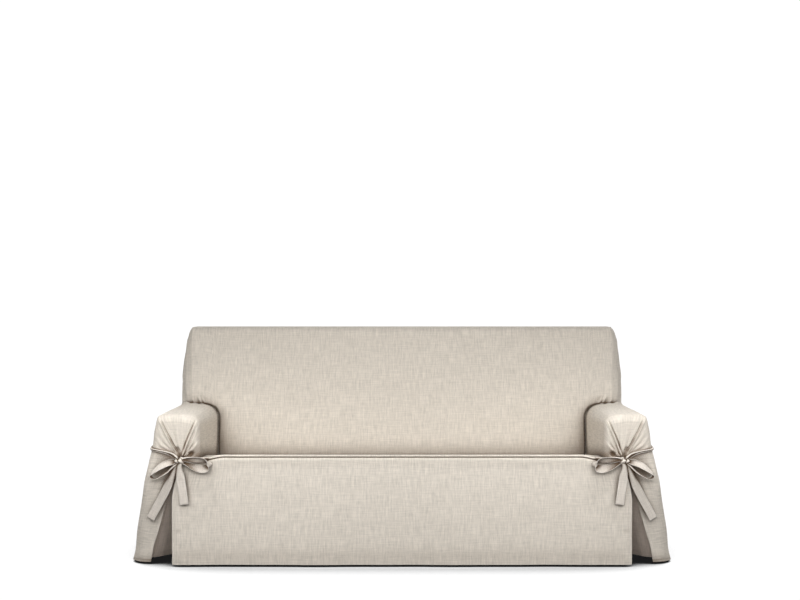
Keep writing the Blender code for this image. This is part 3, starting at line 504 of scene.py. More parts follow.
@dataclass(frozen=True)
class Linen:
    """Finish of one kind of linen cloth in the cover, or of a copy of it with more or less painted
    shade or with its colour lightened as painted light.

    Args:
        slot: Name of the record's slot.
        colour: Its colour in daylight.
        roughness: Roughness of its threads.
        sheen: Light that its loose fibres catch along turned-away places.
        slubs_along: Strength of the thick places in the threads that run down the cloth.
        slubs_across: The same of the threads that run across it.
        clouds: Strength of the broad changes of tone.
        inset: Distance of the hem's stitches from its edge.
        depths: How far its painted shade darkens it in tight folds, and in wide ones.
        wide: How far apart the two sides of a wide fold may lie, for its painted shade.
        shut: Share of open sky at which a wide fold has its full painted shade.
        clear_hem: Distance from its edges over which its painted fold shade is weaker.
        name: Name of the material where it isn't the slot's.
    """

    slot: str
    colour: Triple
    roughness: float = 0.92
    sheen: float = 0.05
    slubs_along: float = 0.26
    slubs_across: float = 0.17
    clouds: float = 0.07
    inset: float = 0.0105
    depths: Pair = (0.9, 0.66)
    wide: float = 0.13
    shut: float = 0.25
    clear_hem: float = 0.0
    name: str = ""

    def material(self, effects: Effects) -> Material:
        """Make the material of this finish.

        Args:
            effects: The shared node groups.

        Returns:
            The material.
        """
        made = bpy.data.materials.new(self.name or self.slot)
        made.use_nodes = True
        board = Board(made.node_tree)
        shader = made.node_tree.nodes["Principled BSDF"]
        shader.inputs["Sheen Weight"].default_value = self.sheen
        shader.inputs["Sheen Roughness"].default_value = SHEEN_ROUGHNESS
        shader.inputs["Specular IOR Level"].default_value = SPECULAR
        cloth = board.add("ShaderNodeUVMap", uv_map="cloth").outputs[0]
        edge = board.add("ShaderNodeUVMap", uv_map="hem").outputs[0]
        weave = board.add("ShaderNodeGroup", {
            "Cloth": cloth, "Pitch": THREAD_PITCH, "Slubs Along": self.slubs_along,
            "Slubs Across": self.slubs_across, "Clouds": self.clouds}, node_tree=effects.weave)
        stitches = board.add("ShaderNodeGroup", {"Edge": edge, "Inset": self.inset},
                             node_tree=effects.stitching)
        plain = board.add("ShaderNodeVectorMath", {0: self.colour, "Scale": weave.outputs["Tone"]},
                          operation="SCALE")
        pale = tuple(PALE[0] * part + PALE[1] for part in self.colour)
        rubbed = board.calc("MULTIPLY", stitches.outputs["Rubbed"], RUBBED_TONE)
        thread = board.calc("MULTIPLY", stitches.outputs["Thread"], THREAD_SHOWS)
        threaded = board.calc("MAXIMUM", rubbed, thread)
        colour = board.add("ShaderNodeMix", {0: threaded, 6: plain.outputs[0], 7: (*pale, 1.0)},
                           data_type="RGBA")
        # Painted shade: the colour goes over to the fold shade where ambient occlusion finds cloth
        # near, standing in for shade in folds, seams and behind other pieces.
        shade = board.add("ShaderNodeGroup", {
            "Near Depth": self.depths[0], "Wide Depth": self.depths[1], "Wide": self.wide,
            "Wide Shut": self.shut}, node_tree=effects.shade)
        deep = tuple(part * share for part, share in zip(self.colour, PAINTED_FOLD_SHADE))
        depth = shade.outputs[0]
        if self.clear_hem:
            from_edge = board.add("ShaderNodeSeparateXYZ", {0: edge}).outputs["Y"]
            clear = board.ramp(from_edge, 0.0, self.clear_hem, HEM_SHADE, 1.0)
            depth = board.calc("MULTIPLY", depth, clear)
        shaded = board.add("ShaderNodeMix", {0: depth, 6: colour.outputs[2], 7: (*deep, 1.0)},
                           data_type="RGBA")
        board.link(shaded.outputs[2], shader.inputs["Base Color"])
        rough = board.ramp(weave.outputs["Tone"], *ROUGH_TONES,
                           *(self.roughness + part for part in ROUGH_SPAN))
        board.link(rough, shader.inputs["Roughness"])
        height = board.calc("ADD", weave.outputs["Height"], stitches.outputs["Height"])
        bump = board.add("ShaderNodeBump", {"Height": height, "Strength": BUMP, "Distance": 1.0})
        board.link(bump.outputs[0], shader.inputs["Normal"])
        made.diffuse_color = (*self.colour, 1.0)
        return made


# ---------------- cloth as meshes

@dataclass
class ClothGrid:
    """A sheet of cloth as a grid of places, before it is made into a mesh.

    Args:
        points: Its places, (rows, columns, 3), not a number where the cloth is cut away.
        cloth: Where each place lies on the flat cloth, (rows, columns, 2).
        lift: How far each place stands out of the plain form, (rows, columns).
        hem: Place along the nearest hem and distance from it, (rows, columns, 2).
    """

    points: Array
    cloth: Array
    lift: Array
    hem: Array | None = None

    def made(self, name: str, material: Material, thickness: float, turned: bool) -> object:
        """Make the sheet's object.

        Args:
            name: Name of the piece.
            material: Its finish.
            thickness: Thickness of the cloth.
            turned: Whether the faces have to be turned over to point out of the cover.

        Returns:
            The object, with the cloth's thickness as a modifier.
        """
        rows, columns = self.points.shape[:2]
        there = np.isfinite(self.points).all(axis=2)
        number = np.full((rows, columns), -1)
        number[there] = np.arange(there.sum())
        corners = stack(number[:-1, :-1], number[1:, :-1], number[1:, 1:], number[:-1, 1:])
        faces = corners.reshape(-1, 4)
        faces = faces[(faces >= 0).all(axis=1)]
        if turned:
            faces = faces[:, ::-1]
        mesh = bpy.data.meshes.new(name)
        places = self.points[there] - BEAR_POINT
        mesh.from_pydata(places.tolist(), [], faces.tolist())
        mesh.update()
        normals = np.empty(len(places) * 3, np.float32)
        mesh.vertex_normals.foreach_get("vector", normals)
        places = places + normals.reshape(-1, 3) * self.lift[there][:, None]
        mesh.vertices.foreach_set("co", places.astype(np.float32).ravel())
        loops = np.empty(len(mesh.loops), np.int32)
        mesh.loops.foreach_get("vertex_index", loops)
        hem = self.hem
        if hem is None:
            hem = np.full((rows, columns, 2), WIDE)
        for label, layer in (("cloth", self.cloth), ("hem", hem)):
            uv = mesh.uv_layers.new(name=label)
            uv.data.foreach_set("uv", layer[there][loops].astype(np.float32).ravel())
        mesh.shade_smooth()
        mesh.materials.append(material)
        mesh.update()
        thing = bpy.data.objects.new(name, mesh)
        bpy.context.collection.objects.link(thing)
        solid = thing.modifiers.new("cloth thickness", "SOLIDIFY")
        solid.thickness = thickness
        solid.offset = 0.0
        return thing


def lengths(points: Array, axis: int) -> Array:
    """Distance run along one axis of a grid of points, which starts from 0 at its first place."""
    step = np.linalg.norm(np.diff(points, axis=axis), axis=-1)
    run = np.cumsum(np.nan_to_num(step), axis=axis)
    start = np.zeros_like(np.take(run, [0], axis=axis))
    return np.concatenate((start, run), axis=axis)


@dataclass
class Wardrobe:
    """What every panel needs to be dressed: the shared node groups and the finishes."""

    effects: Effects
    finishes: dict[Linen, Material] = field(default_factory=dict)

    def finish(self, linen: Linen) -> Material:
        """Material of a finish, made once."""
        if linen not in self.finishes:
            self.finishes[linen] = linen.material(self.effects)
        return self.finishes[linen]

    def dress(self, piece: Object, node: str, linen: Linen, flat: Pair,
              area: float, hold: Hold, rests_on: Sequence[str]) -> None:
        """Let a piece ride on the cover in place of its solid, and report it.

        Args:
            piece: The piece.
            node: The solid that it stands for.
            linen: Its finish; not used.
            flat: Width and length of the cut cloth.
            area: Area of the cut cloth.
            hold: How it is held; not used.
            rests_on: What it lies on or hangs from; not used.
        """
        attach(piece, "root")
        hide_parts(node)
        LOG.info("%s: cut from %.2f x %.2f m of cloth, %.3f square metres", piece.name, *flat, area)


LINEN = Linen("linen_cloth", (0.668, 0.612, 0.537))
# the linen with a deeper painted shade that is full sooner, for the shade behind the bows and round
# the knots
LINEN_ARM_SHADED = Linen("linen_cloth", LINEN.colour, depths=(0.92, 0.86), wide=0.075, shut=0.45,
                  name="linen_cloth_arm")
# the skirt's copy of the linen and the rear panel's linen have a weaker painted fold shade by their
# hems
LINEN_SKIRT = Linen("linen_cloth", LINEN.colour, clear_hem=0.048, name="linen_cloth_skirt")
LINEN_REAR = Linen("linen_cloth_rear", (0.64, 0.58, 0.505), clear_hem=0.048)
# the rear panel's linen lightened and warmed as painted light, standing in for light in its shaded
# recess behind the skirt, with a weaker painted fold shade
LINEN_PLEAT_LIGHTENED = Linen("linen_cloth_rear", (0.74, 0.625, 0.535), sheen=0.06, depths=(0.9, 0.3),
                    wide=0.06, name="linen_cloth_pleat")
# its painted shade is deeper and full sooner, for the shade inside the bows' loops
LINEN_TIE = Linen("linen_tie", (0.66, 0.605, 0.54), slubs_along=0.2, slubs_across=0.14,
                  inset=0.0028, depths=(0.8, 0.96), wide=0.075, shut=0.5)


# ---------------- the forms that the cloth lies on

@dataclass(frozen=True)
class CoverForm:
    """Sizes of the forms under the cover, and the surfaces that its cloth lies on."""

    cloth: float = 0.0016
    gap: float = 0.0003
    edge_gap: float = 0.0009
    hem: float = 0.01
    seat_front: float = 0.458
    seat_fall: float = 0.125
    seat_roll: float = 0.012
    seat_sag: float = 0.006
    seam_height: float = 0.4485
    seam_in: float = 0.004  # both panels turn in by this much at the seam
    drawn_depth: float = 0.2  # the seat is drawn down with that seam over this depth
    knot_pulls: tuple[Triple, ...] = (  # of the seam: how far, from where, over what
        (0.013, 0.728, 0.085), (0.006, 0.855, 0.05))
    tuck: float = 0.02
    arm_in: float = 0.83
    arm_out: float = 1.007
    arm_top: float = 0.618
    arm_crown: float = 0.004
    arm_front: float = 0.012
    arm_edge: float = 0.018
    arm_inner_edge: Pair = (0.045, 0.062)
    corner: Pair = (0.032, 0.085)
    skirt_out: float = 0.939
    skirt_tie_out: float = 0.912
    skirt_narrow: float = 0.6
    back_top: float = 0.966
    back_crown: float = 0.01
    crown_from: float = 0.25  # the back's crown is full from this far below its top
    back_front_edge: float = 0.035
    back_rear_edge: float = 0.03
    back_side_edge: Pair = (0.08, 0.03)
    back_side_bevel: float = 0.45
    back_top_from: float = 0.7
    back_top_to: float = 0.842
    rear_top: float = 0.872
    rear_hem: float = 0.92
    rear_corner: float = 0.03
    side_split: float = 0.6
    side_flare: Profile = Profile((
        (0.6, 1.007), (0.573, 1.013), (0.548, 1.018), (0.499, 1.0235), (0.412, 1.0429),
        (0.339, 1.062), (0.262, 1.0757), (0.211, 1.086), (0.12, 1.1045), (0.051, 1.1139),
        (0.01, 1.1255)))
    side_waves: Waves = Waves(((0.006, 0.34, 0.2), (0.003, 0.19, 0.05)))
    waves_below: float = 0.5  # they grow from this height down to the floor
    waves_behind: float = 0.12  # and from this depth on, over as much again
    back_lean: Profile = Profile((
        (0.362, 0.55), (0.45, 0.554), (0.62, 0.585), (0.8, 0.63), (0.931, 0.665)))
    back_seams: Profile = Profile(((0.6, 0.949), (0.8, 0.957), (0.93, 0.962), (0.966, 0.957)))
    back_sides: Profile = Profile((
        (0.6, 1.008), (0.72, 1.0077), (0.82, 0.999), (0.89, 0.99), (0.93, 0.982),
        (0.9575, 0.9717), (0.966, 0.9643)))

    def seat_height(self, y: Array) -> Array:
        """Height of the seat's cloth."""
        return self.seat_front - self.seat_fall * np.maximum(y - self.seat_roll, 0.0)

    def drawn_in(self, out: Array) -> Array:
        """How far a place on the front skirt is drawn in at its top."""
        return (self.skirt_out - self.skirt_tie_out) * ease((out - self.skirt_narrow)
                                                            / (self.skirt_out - self.skirt_narrow))

    def edge_drop(self, out: Array) -> Array:
        """How far the seam under the seat's front edge is drawn down towards the knots."""
        return sum(drop * ease((out - start) / over) for drop, start, over in self.knot_pulls)

    def side_out(self, z: Array, y: Array) -> Array:
        """Reach of the outer side with its soft folds, which grow towards the hem."""
        low = ease((self.waves_below - z) / self.waves_below)
        behind = ease((y - self.waves_behind) / self.waves_behind)
        return self.side_flare.at(z) + low * behind * self.side_waves.at(y)

    def side_rounding(self, z: Array) -> Array:
        """Depth over which the back's side rounds off."""
        low, high = self.back_side_edge
        return mix(low, high, ease((z - self.side_split) / (self.back_top - self.side_split)))

    def side_turn(self, share: Array) -> Array:
        """How far back the side has turned at a share of the way out, at an angle to its seam."""
        return mix(1.0 - np.sqrt(1.0 - share ** 2), share, self.back_side_bevel)

    def back_front(self, z: Array, out: Array) -> Array:
        """Front of the back: a leaning face with a soft crown and rounded sides.

        Args:
            z: Height.
            out: Distance from the middle.

        Returns:
            Depth of the cloth there.
        """
        rise = np.clip((z - self.back_top + self.back_front_edge) / self.back_front_edge, 0.0, 1.0)
        top = self.back_top_from - self.back_front_edge * np.sqrt(1.0 - rise ** 2)
        lean = np.where(rise > 0.0, top, self.back_lean.at(z))
        seam, reach = self.back_seams.at(z), self.back_sides.at(z)
        inward = np.minimum(out / seam, 1.0)
        crown = self.back_crown * ease((self.back_top - z) / self.crown_from) * (1.0 - inward ** 4)
        share = np.clip((out - seam) / (reach - seam), 0.0, 1.0)
        return lean - crown + self.side_rounding(z) * self.side_turn(share)

    def beyond_arm(self, out: Array, z: Array) -> Array:
        """Distance from the arm's outline where it meets the back, negative inside the arm."""
        radius = self.arm_inner_edge[1]
        centre_out, centre_z = self.arm_in + radius, self.arm_top - radius
        aside, above = np.maximum(centre_out - out, 0.0), np.maximum(z - centre_z, 0.0)
        round_corner = np.hypot(aside, above) - radius
        within = (out > centre_out) & (z < centre_z)
        return np.where(within, -radius, round_corner)

    def rear_y(self, z: Array) -> Array:
        """Depth of the rear panel."""
        top = self.back_top - self.back_rear_edge
        return mix(self.rear_hem, self.rear_top, (z - self.hem) / (top - self.hem))

    def back_rear(self, z: Array) -> Array:
        """Rear of the back, rounded at its top."""
        drop = np.clip((z - self.back_top + self.back_rear_edge) / self.back_rear_edge, 0.0, 1.0)
        rounded = self.back_top_to + self.back_rear_edge * np.sqrt(1.0 - drop ** 2)
        return np.where(drop > 0.0, rounded, self.rear_y(z))


FORM = CoverForm()
HOLLOW = np.nan  # a place where a panel has no cloth


def mirrored(half: Array, sign: float) -> Array:
    """Whole grid from its right half, whose first row is the middle line."""
    other = half[:0:-1].copy()
    other[..., 0] *= sign
    return np.concatenate((other, half), axis=0)


@dataclass(frozen=True)
class Piece:
    """A piece of cloth in the cover, which is built on the right where it has a pair on the left.

    Args:
        node: The solid that it stands for.
        linen: Its finish.
        flat: Width and length of the cut cloth.
        area: Area of the cut cloth, where it isn't all of that rectangle.
        hold: How it is held.
        rests_on: The solid that it lies on or hangs from.
        paired_rest: Whether that solid has a pair too.
        turned: Whether its faces have to be turned over to point out of the cover.
        side: The half of the cover that it is in, where it has a pair.
    """

    node: str = ""
    linen: Linen = LINEN
    flat: Pair = (1.0, 1.0)
    area: float = 0.0
    hold: Hold = Hold.HUNG
    rests_on: str = ""
    paired_rest: bool = False
    turned: bool = False
    side: Side | None = None

    def grid(self) -> ClothGrid:
        """Places of the piece's cloth."""
        raise NotImplementedError

    def sewn(self, grid: ClothGrid, name: str, material: Material) -> Object:
        """Object of one sheet of the piece, on its own side of the cover."""
        if self.side:
            grid.points[..., 0] *= self.side.value
        return grid.made(name, material, FORM.cloth, self.turned != (self.side is Side.LEFT))

    def whole(self, name: str, material: Material) -> Object:
        """Object of the whole piece."""
        return self.sewn(self.grid(), name, material)

    def dress(self, wardrobe: Wardrobe) -> None:
        """Make the piece in place of its solid."""
        node = self.side.named(self.node) if self.side else self.node
        rest = self.side.named(self.rests_on) if self.paired_rest else self.rests_on
        piece = self.whole(node.removesuffix("_panel") + "_cloth", wardrobe.finish(self.linen))
        area = self.area or self.flat[0] * self.flat[1]
        wardrobe.dress(piece, node, self.linen, self.flat, area, self.hold, [rest])


# ---------------- front skirt

@dataclass(frozen=True)
class FrontSkirt(Piece):
    """Front panel from the seam under the seat's edge to its hem, drawn to the knots above."""

    node: str = "front_skirt"
    rests_on: str = "seat_panel"
    linen: Linen = LINEN_SKIRT
    flat: Pair = (1.9, 0.46)
    area: float = 0.86
    pitch: float = 0.0058
    draw_from: float = 0.27  # below this height its side edges hang straight
    draw_to: float = 0.4285  # and above this one they are drawn in fully
    roll: float = 0.0036  # the cloth stands out by this much just under the seam
    roll_shape: Pair = (0.0085, 0.024)  # it is full this far down, and fades over this
    seam_shape: Pair = (0.9, 0.06)  # seam and roll end at this place, over this
    seam_turn: float = 0.0022  # the cloth turns in to the seam over this
    loose_over: float = 0.3  # its slack grows from the seam over this
    flare: Triple = (0.006, 0.915, 0.024)  # its side edges stand back: how far, from, over
    flare_height: Pair = (0.3, 0.2)  # below this height, over this
    ridge_share: float = 0.8  # share of the ridges' heights that shows
    ridges_over: float = 0.03  # they grow from the seam over this
    side_rows: float = 0.018  # its columns stand closer over this breadth, beside its side hems
    seam_rows: tuple[float, ...] = (
        0.0, 0.001, 0.0022, 0.0036, 0.0052, 0.007, 0.0092, 0.0118, 0.015, 0.019)
    waves: Waves = Waves(((0.0022, 0.62, 0.11), (0.0012, 0.27, 0.4)))
    ridges: tuple[Crease, ...] = creases(
        (((0.899, 0.42), (0.908, 0.33), (0.915, 0.16)), 0.0048, 0.011, 0.0, 0.0012),
        (((0.88, 0.415), (0.862, 0.34), (0.848, 0.26)), 0.0032, 0.012, 0.001),
        (((0.87, 0.421), (0.835, 0.402), (0.79, 0.392)), 0.0022, 0.007, 0.0, 0.0, 0.25, 0.6),
        (((0.905, 0.26), (0.87, 0.15), (0.856, 0.03)), 0.0014, 0.016, 0.0, 0.0, 0.25, 0.3),
    )
    slack: Unevenness = Unevenness(3, 0.15, 0.26, 0.0011)
    crush: Unevenness = Unevenness(4, 0.034, 0.11, 0.00035)

    def grid(self) -> ClothGrid:
        """Places of the skirt.

        Returns:
            Its grid, with the first direction from left to right.
        """
        fine = HEM_STEPS[1:]
        inner = spread(0.0, FORM.skirt_out - self.side_rows, self.pitch)
        half = np.concatenate((inner, FORM.skirt_out - fine[::-1], (FORM.skirt_out,)))
        places = np.concatenate((-half[:0:-1], half))
        depth = FORM.seam_height - FORM.gap / 2 - FORM.hem
        upper = np.array(self.seam_rows) / depth
        lower = 1.0 - HEM_STEPS[::-1] / depth
        middle = spread(upper[-1], lower[0], self.pitch / depth)[1:-1]
        shares = np.concatenate((upper, middle, lower))
        place, share = np.meshgrid(places, shares, indexing="ij")
        out = np.abs(place)
        top = FORM.seam_height - FORM.gap / 2 - FORM.edge_drop(out - FORM.drawn_in(out))
        z = mix(top, FORM.hem, share)
        draw = ease((z - self.draw_from) / (self.draw_to - self.draw_from))
        narrow = draw * FORM.drawn_in(out)
        loose = ease((FORM.seam_height - z) / self.loose_over)
        down = top - z
        full, fade = self.roll_shape
        bulge = ease(down / full) * bell(np.maximum(down - full, 0.0), fade)
        seamed = ease((self.seam_shape[0] - out) / self.seam_shape[1])
        roll = self.roll * bulge * seamed
        back, start, over = self.flare
        below, height = self.flare_height
        edge = back * ease((out - start) / over) * ease((below - z) / height)
        turned_in = FORM.seam_in * (1.0 - ease(down / self.seam_turn)) * seamed
        ridges = self.ridge_share * creased(self.ridges, out - narrow, z)
        y = turned_in - roll - loose * self.waves.at(place) + edge
        y = y - ridges * ease((top - z) / self.ridges_over)
        points = stack(np.sign(place) * (out - narrow), y, z)
        cloth = stack(place, z)
        to_hem, to_side = z - FORM.hem, FORM.skirt_out - out
        near = np.minimum(to_hem, to_side)
        along = np.where(to_hem < to_side, place, z)
        lift = loose * creased((self.slack, self.crush), place, z)
        return ClothGrid(points, cloth, lift + hem_ply(near), stack(along, near))


# ---------------- seat

@dataclass(frozen=True)
class SeatPanel(Piece):
    """Seat from the seam at its front edge to the crevice before the back."""

    node: str = "seat_panel"
    rests_on: str = "front_skirt"
    hold: Hold = Hold.STRETCHED
    flat: Pair = (1.68, 0.59)
    area: float = 0.95
    pitch: float = 0.0085
    edge_turn: Pair = (180.0, 96.0)  # its front edge turns between these angles
    edge_shape: Pair = (0.35, 0.001)  # share of the roll in its height, and how far it stands out
    fine: Pair = (0.05, 0.005)  # the rows are this close up to this depth
    foot: float = 0.375  # height at which it meets the back
    crevice: Pair = (0.008, 0.016)  # depth before the back and depth down
    crevice_rows: tuple[float, ...] = (0.03, 0.02, 0.013)  # depths before the back
    crevice_drops: tuple[float, ...] = (0.01, 0.08, 0.25, 0.65, 1.0)
    beside_arm: Pair = (0.0013, 0.6)  # gap to the arm, and share of its front corner followed
    sag: tuple[float, ...] = (0.03, 0.15, 0.54, 0.1)  # spans of between(), from the front
    slack_span: tuple[float, ...] = (0.03, 0.1, 0.52, 0.05)
    follow: Pair = (0.5, 0.03)  # from this depth its rows follow the back, over this
    side_calm: float = 0.05  # its slack ends over this breadth beside the arms
    slack: Unevenness = Unevenness(11, 0.21, 0.15, 0.0016)
    crush: Unevenness = Unevenness(12, 0.055, 0.04, 0.0005)
    tugs: tuple[Crease, ...] = creases(
        (((0.8, 0.04), (0.74, 0.12), (0.66, 0.23)), 0.0022, 0.012, 0.0008, 0.0, 0.25, 0.5),
        (((0.815, 0.07), (0.78, 0.19), (0.745, 0.3)), 0.0016, 0.01, 0.0, 0.0006, 0.25, 0.5),
        (((0.815, 0.47), (0.73, 0.43), (0.64, 0.42)), 0.0018, 0.011, 0.0008, 0.0, 0.25, 0.5),
    )

    def profile(self) -> tuple[Array, Array]:
        """Depths and heights from the front seam to the rear edge.

        Returns:
            The depths, and the heights.
        """
        turn = np.radians(np.linspace(*self.edge_turn, 9))
        soft = self.edge_shape[0] * FORM.seat_roll
        front_y = FORM.seat_roll + FORM.seat_roll * np.cos(turn) - self.edge_shape[1]
        front_z = FORM.seat_front - soft + soft * np.sin(turn)
        rear = float(FORM.back_front(self.foot, 0.0))
        fine_to, fine_pitch = self.fine
        far, nearer, near = (rear - row for row in self.crevice_rows)
        middle = np.concatenate((spread(FORM.seat_roll, fine_to, fine_pitch),
                                 spread(fine_to, far, self.pitch)[1:]))
        before, down = self.crevice
        last = rear - (FORM.cloth / 2 + FORM.gap) - FORM.edge_gap - FORM.gap
        end_y = np.array((nearer, near, rear - before, 0.5 * (rear - before + last), last))
        end_drop = np.array(self.crevice_drops) * down
        y = np.concatenate(((FORM.seam_in,), front_y, middle, end_y))
        z = np.concatenate(((FORM.seam_height + FORM.gap / 2,), front_z, FORM.seat_height(middle),
                            FORM.seat_height(end_y) - end_drop))
        return y, z

    def grid(self) -> ClothGrid:
        """Places of the seat.

        Returns:
            Its grid, with the first direction from left to right.
        """
        y, z = self.profile()
        turn_in = np.clip((FORM.arm_front + FORM.corner[0] - y) / FORM.corner[0], 0.0, 1.0)
        gap, followed = self.beside_arm
        rounding = FORM.corner[0] * (1.0 - np.sqrt(1.0 - turn_in ** 2)) * followed
        edge = FORM.arm_in - gap + rounding
        drawn = 1.0 - ease(y / FORM.drawn_depth)
        sag = FORM.seat_sag * between(y, *self.sag)
        shares = spread(0.0, 1.0, self.pitch / FORM.arm_in)
        share, _ = np.meshgrid(shares, y, indexing="ij")
        out = share * edge
        start, over = self.follow
        bowed = FORM.back_front(z, out) - FORM.back_front(z, 0.0 * out)
        follow = ease((y - start) / over) * bowed
        low = sag * (1.0 - share ** 2) + drawn * FORM.edge_drop(out)
        half = stack(out, y + follow, z - low)
        points = mirrored(half, -1.0)
        run = lengths(points, 1)
        cloth = stack(points[..., 0], -run)
        place, depth = points[..., 0], points[..., 1]
        inward = ease((edge - np.abs(place)) / self.side_calm)
        slack = creased((self.slack, self.crush), place, run)
        lift = between(depth, *self.slack_span) * inward * slack
        lift = lift + inward * creased(self.tugs, np.abs(place), depth)
        return ClothGrid(points, cloth, lift)


# ---------------- inside back

@dataclass(frozen=True)
class InsideBack(Piece):
    """Panel over the back's front face, its top and its sides, notched round the arms."""

    node: str = "inside_back"
    rests_on: str = "outside_back"
    hold: Hold = Hold.STRETCHED
    flat: Pair = (2.54, 0.86)
    area: float = 1.75
    pitch: float = 0.0095
    foot: float = 0.362
    notch: float = 0.01
    levels: int = 58
    closer: float = 1.45  # the levels stand closer towards the arm by this power
    fine_from: float = 0.79  # and the columns from here outwards
    fine_pitch: float = 0.0028
    corner_columns: int = 20
    bends: int = 9  # places round its notch and round the top's front edge
    seam_bends: int = 8  # rows from its top round to the rear seam
    side_bends: tuple[int, int] = (15, 7)  # columns round the side's front edge and its rear one
    side_depth: float = 0.2  # between these
    tuck: float = 0.016  # the cloth is pushed in by this much where the arm meets it
    tuck_breadth: float = 0.009
    tuck_from: float = 0.001  # and is in its full depth up to here
    slope: Pair = (0.01, 0.048)  # and it falls towards it by this much over this breadth
    tuck_waver: Unevenness = Unevenness(24, 0.03, 0.026, 0.003)
    side_weave: float = 0.25  # the sides show the weave from this much further on
    turning: float = 0.02  # the face becomes the side over this
    slack_span: tuple[float, ...] = (0.48, 0.1, 0.966, 0.05)  # span of between(), upwards
    side_calm: Pair = (0.945, 0.05)  # the face's slack ends at this place, over this
    seat_tuck: Triple = (0.006, 0.384, 0.005)  # depth, height and breadth
    slack: Unevenness = Unevenness(21, 0.26, 0.19, 0.0016)
    crush: Unevenness = Unevenness(22, 0.06, 0.085, 0.00045)
    side_crush: Unevenness = Unevenness(23, 0.03, 0.062, 0.0022)
    puckers: tuple[Crease, ...] = creases(  # on the face above the arms, as places (out, z)
        (((0.906, 0.613), (0.914, 0.635), (0.933, 0.668)), 0.007, 0.0052, 0.0036, 0.0, 0.05, 0.5),
        (((0.89, 0.615), (0.898, 0.632), (0.915, 0.66)), 0.0062, 0.0046, 0.0034, 0.0, 0.05, 0.5),
        (((0.93, 0.612), (0.94, 0.628), (0.956, 0.65)), 0.0058, 0.0048, 0.0, 0.0032, 0.05, 0.5),
        (((0.87, 0.608), (0.858, 0.65), (0.84, 0.72)), 0.0016, 0.011, 0.0008, 0.0, 0.05, 0.6),
    )
    side_folds: tuple[Crease, ...] = creases(  # round the side, as places (from its front edge, z)
        (((0.004, 0.612), (0.003, 0.7), (0.004, 0.9)), -0.003, 0.005, -0.0012, 0.0, 0.05, 0.3),
        (((0.074, 0.618), (0.077, 0.672), (0.08, 0.745)), -0.01, 0.01, -0.003, 0.0, 0.05, 0.4),
        (((0.022, 0.632), (0.034, 0.715), (0.03, 0.8)), 0.0044, 0.01, 0.0, 0.0026, 0.25, 0.4),
        (((0.11, 0.64), (0.118, 0.76), (0.14, 0.88)), 0.0034, 0.014, 0.0012, 0.0, 0.25, 0.3),
        (((0.19, 0.66), (0.17, 0.76), (0.16, 0.9)), -0.003, 0.016, 0.0, 0.0, 0.25, 0.3),
        (((0.032, 0.855), (0.07, 0.895), (0.12, 0.94)), 0.0018, 0.009, 0.0008, 0.0, 0.25, 0.5),
    )

    def levels_of(self, low: Array) -> Array:
        """Heights of the rows above the arms, from each column's lower edge to the front edge."""
        high = FORM.back_top - FORM.back_front_edge
        return mix(low[:, None], high, np.linspace(0.0, 1.0, self.levels + 1)[None] ** self.closer)

    def half(self) -> tuple[Array, int]:
        """Right half of the panel.

        Returns:
            Its grid of points, and the number of the column at which the side starts.
        """
        notch_out, notch_top = FORM.arm_in + self.notch, FORM.arm_top - self.notch
        radius = FORM.arm_inner_edge[1] - self.notch
        bends = 1.0 - np.cos(quarter(self.bends))
        places = np.concatenate((spread(0.0, self.fine_from, self.pitch),
                                 spread(self.fine_from, notch_out, self.fine_pitch)[1:],
                                 notch_out + radius * bends[1:]))
        rise = np.sqrt(1.0 - (1.0 - np.clip((places - notch_out) / radius, 0.0, 1.0)) ** 2)
        low = notch_top - radius * (1.0 - rise)
        shares = np.linspace(0.0, 1.0, self.corner_columns)[1:]
        low = np.concatenate((low, np.full(len(shares), notch_top)))
        face_z = self.levels_of(low)
        bend_z = FORM.back_top - FORM.back_front_edge * (1.0 - np.sin(quarter(self.bends)[1:-1]))
        face_z = np.concatenate((face_z, np.tile(bend_z, (len(low), 1))), axis=1)
        inner = np.tile(places[:, None], (1, face_z.shape[1]))
        outer = mix(places[-1], FORM.back_seams.at(face_z[-1]), shares[:, None])
        face_out = np.concatenate((inner, outer))
        face = stack(face_out, FORM.back_front(face_z, face_out), face_z)
        foot_z = spread(self.foot, notch_top - radius, self.pitch)[:-1]
        foot = np.full((len(low), len(foot_z), 3), HOLLOW)
        reach = places <= notch_out + 1e-6
        foot_out, foot_height = np.meshgrid(places[reach], foot_z, indexing="ij")
        foot[:len(foot_out)] = stack(foot_out, FORM.back_front(foot_height, foot_out), foot_height)
        over = self.over_top(places, shares)
        face = np.concatenate((foot, face, over), axis=1)
        side = self.side_columns(bend_z, len(foot_z), over.shape[1])
        return np.concatenate((face, side)), len(face) - 1

    def over_top(self, places: Array, shares: Array) -> Array:
        """Rows over the flat top and round to the rear seam.

        Args:
            places: Distances from the middle of the inner columns.
            shares: Where the outer columns lie between the last of these and the edge.

        Returns:
            The grid of these rows.
        """
        rows = []
        edge = float(FORM.back_sides.at(FORM.back_top)) - FORM.edge_gap
        for y in spread(FORM.back_top_from, FORM.back_top_to, self.pitch):
            out = np.concatenate((places, mix(places[-1], edge, shares)))
            rows.append(stack(out, np.full_like(out, y), np.full_like(out, FORM.back_top)))
        for angle in quarter(self.seam_bends)[1:]:
            z = FORM.back_top - FORM.back_rear_edge * (1.0 - math.cos(angle))
            edge = FORM.back_seams.at(z) - FORM.edge_gap
            out = np.concatenate((places, mix(places[-1], edge, shares)))
            y = FORM.back_rear(np.full_like(out, z))
            rows.append(stack(out, y, np.full_like(out, z)))
        return np.stack(rows, axis=1)

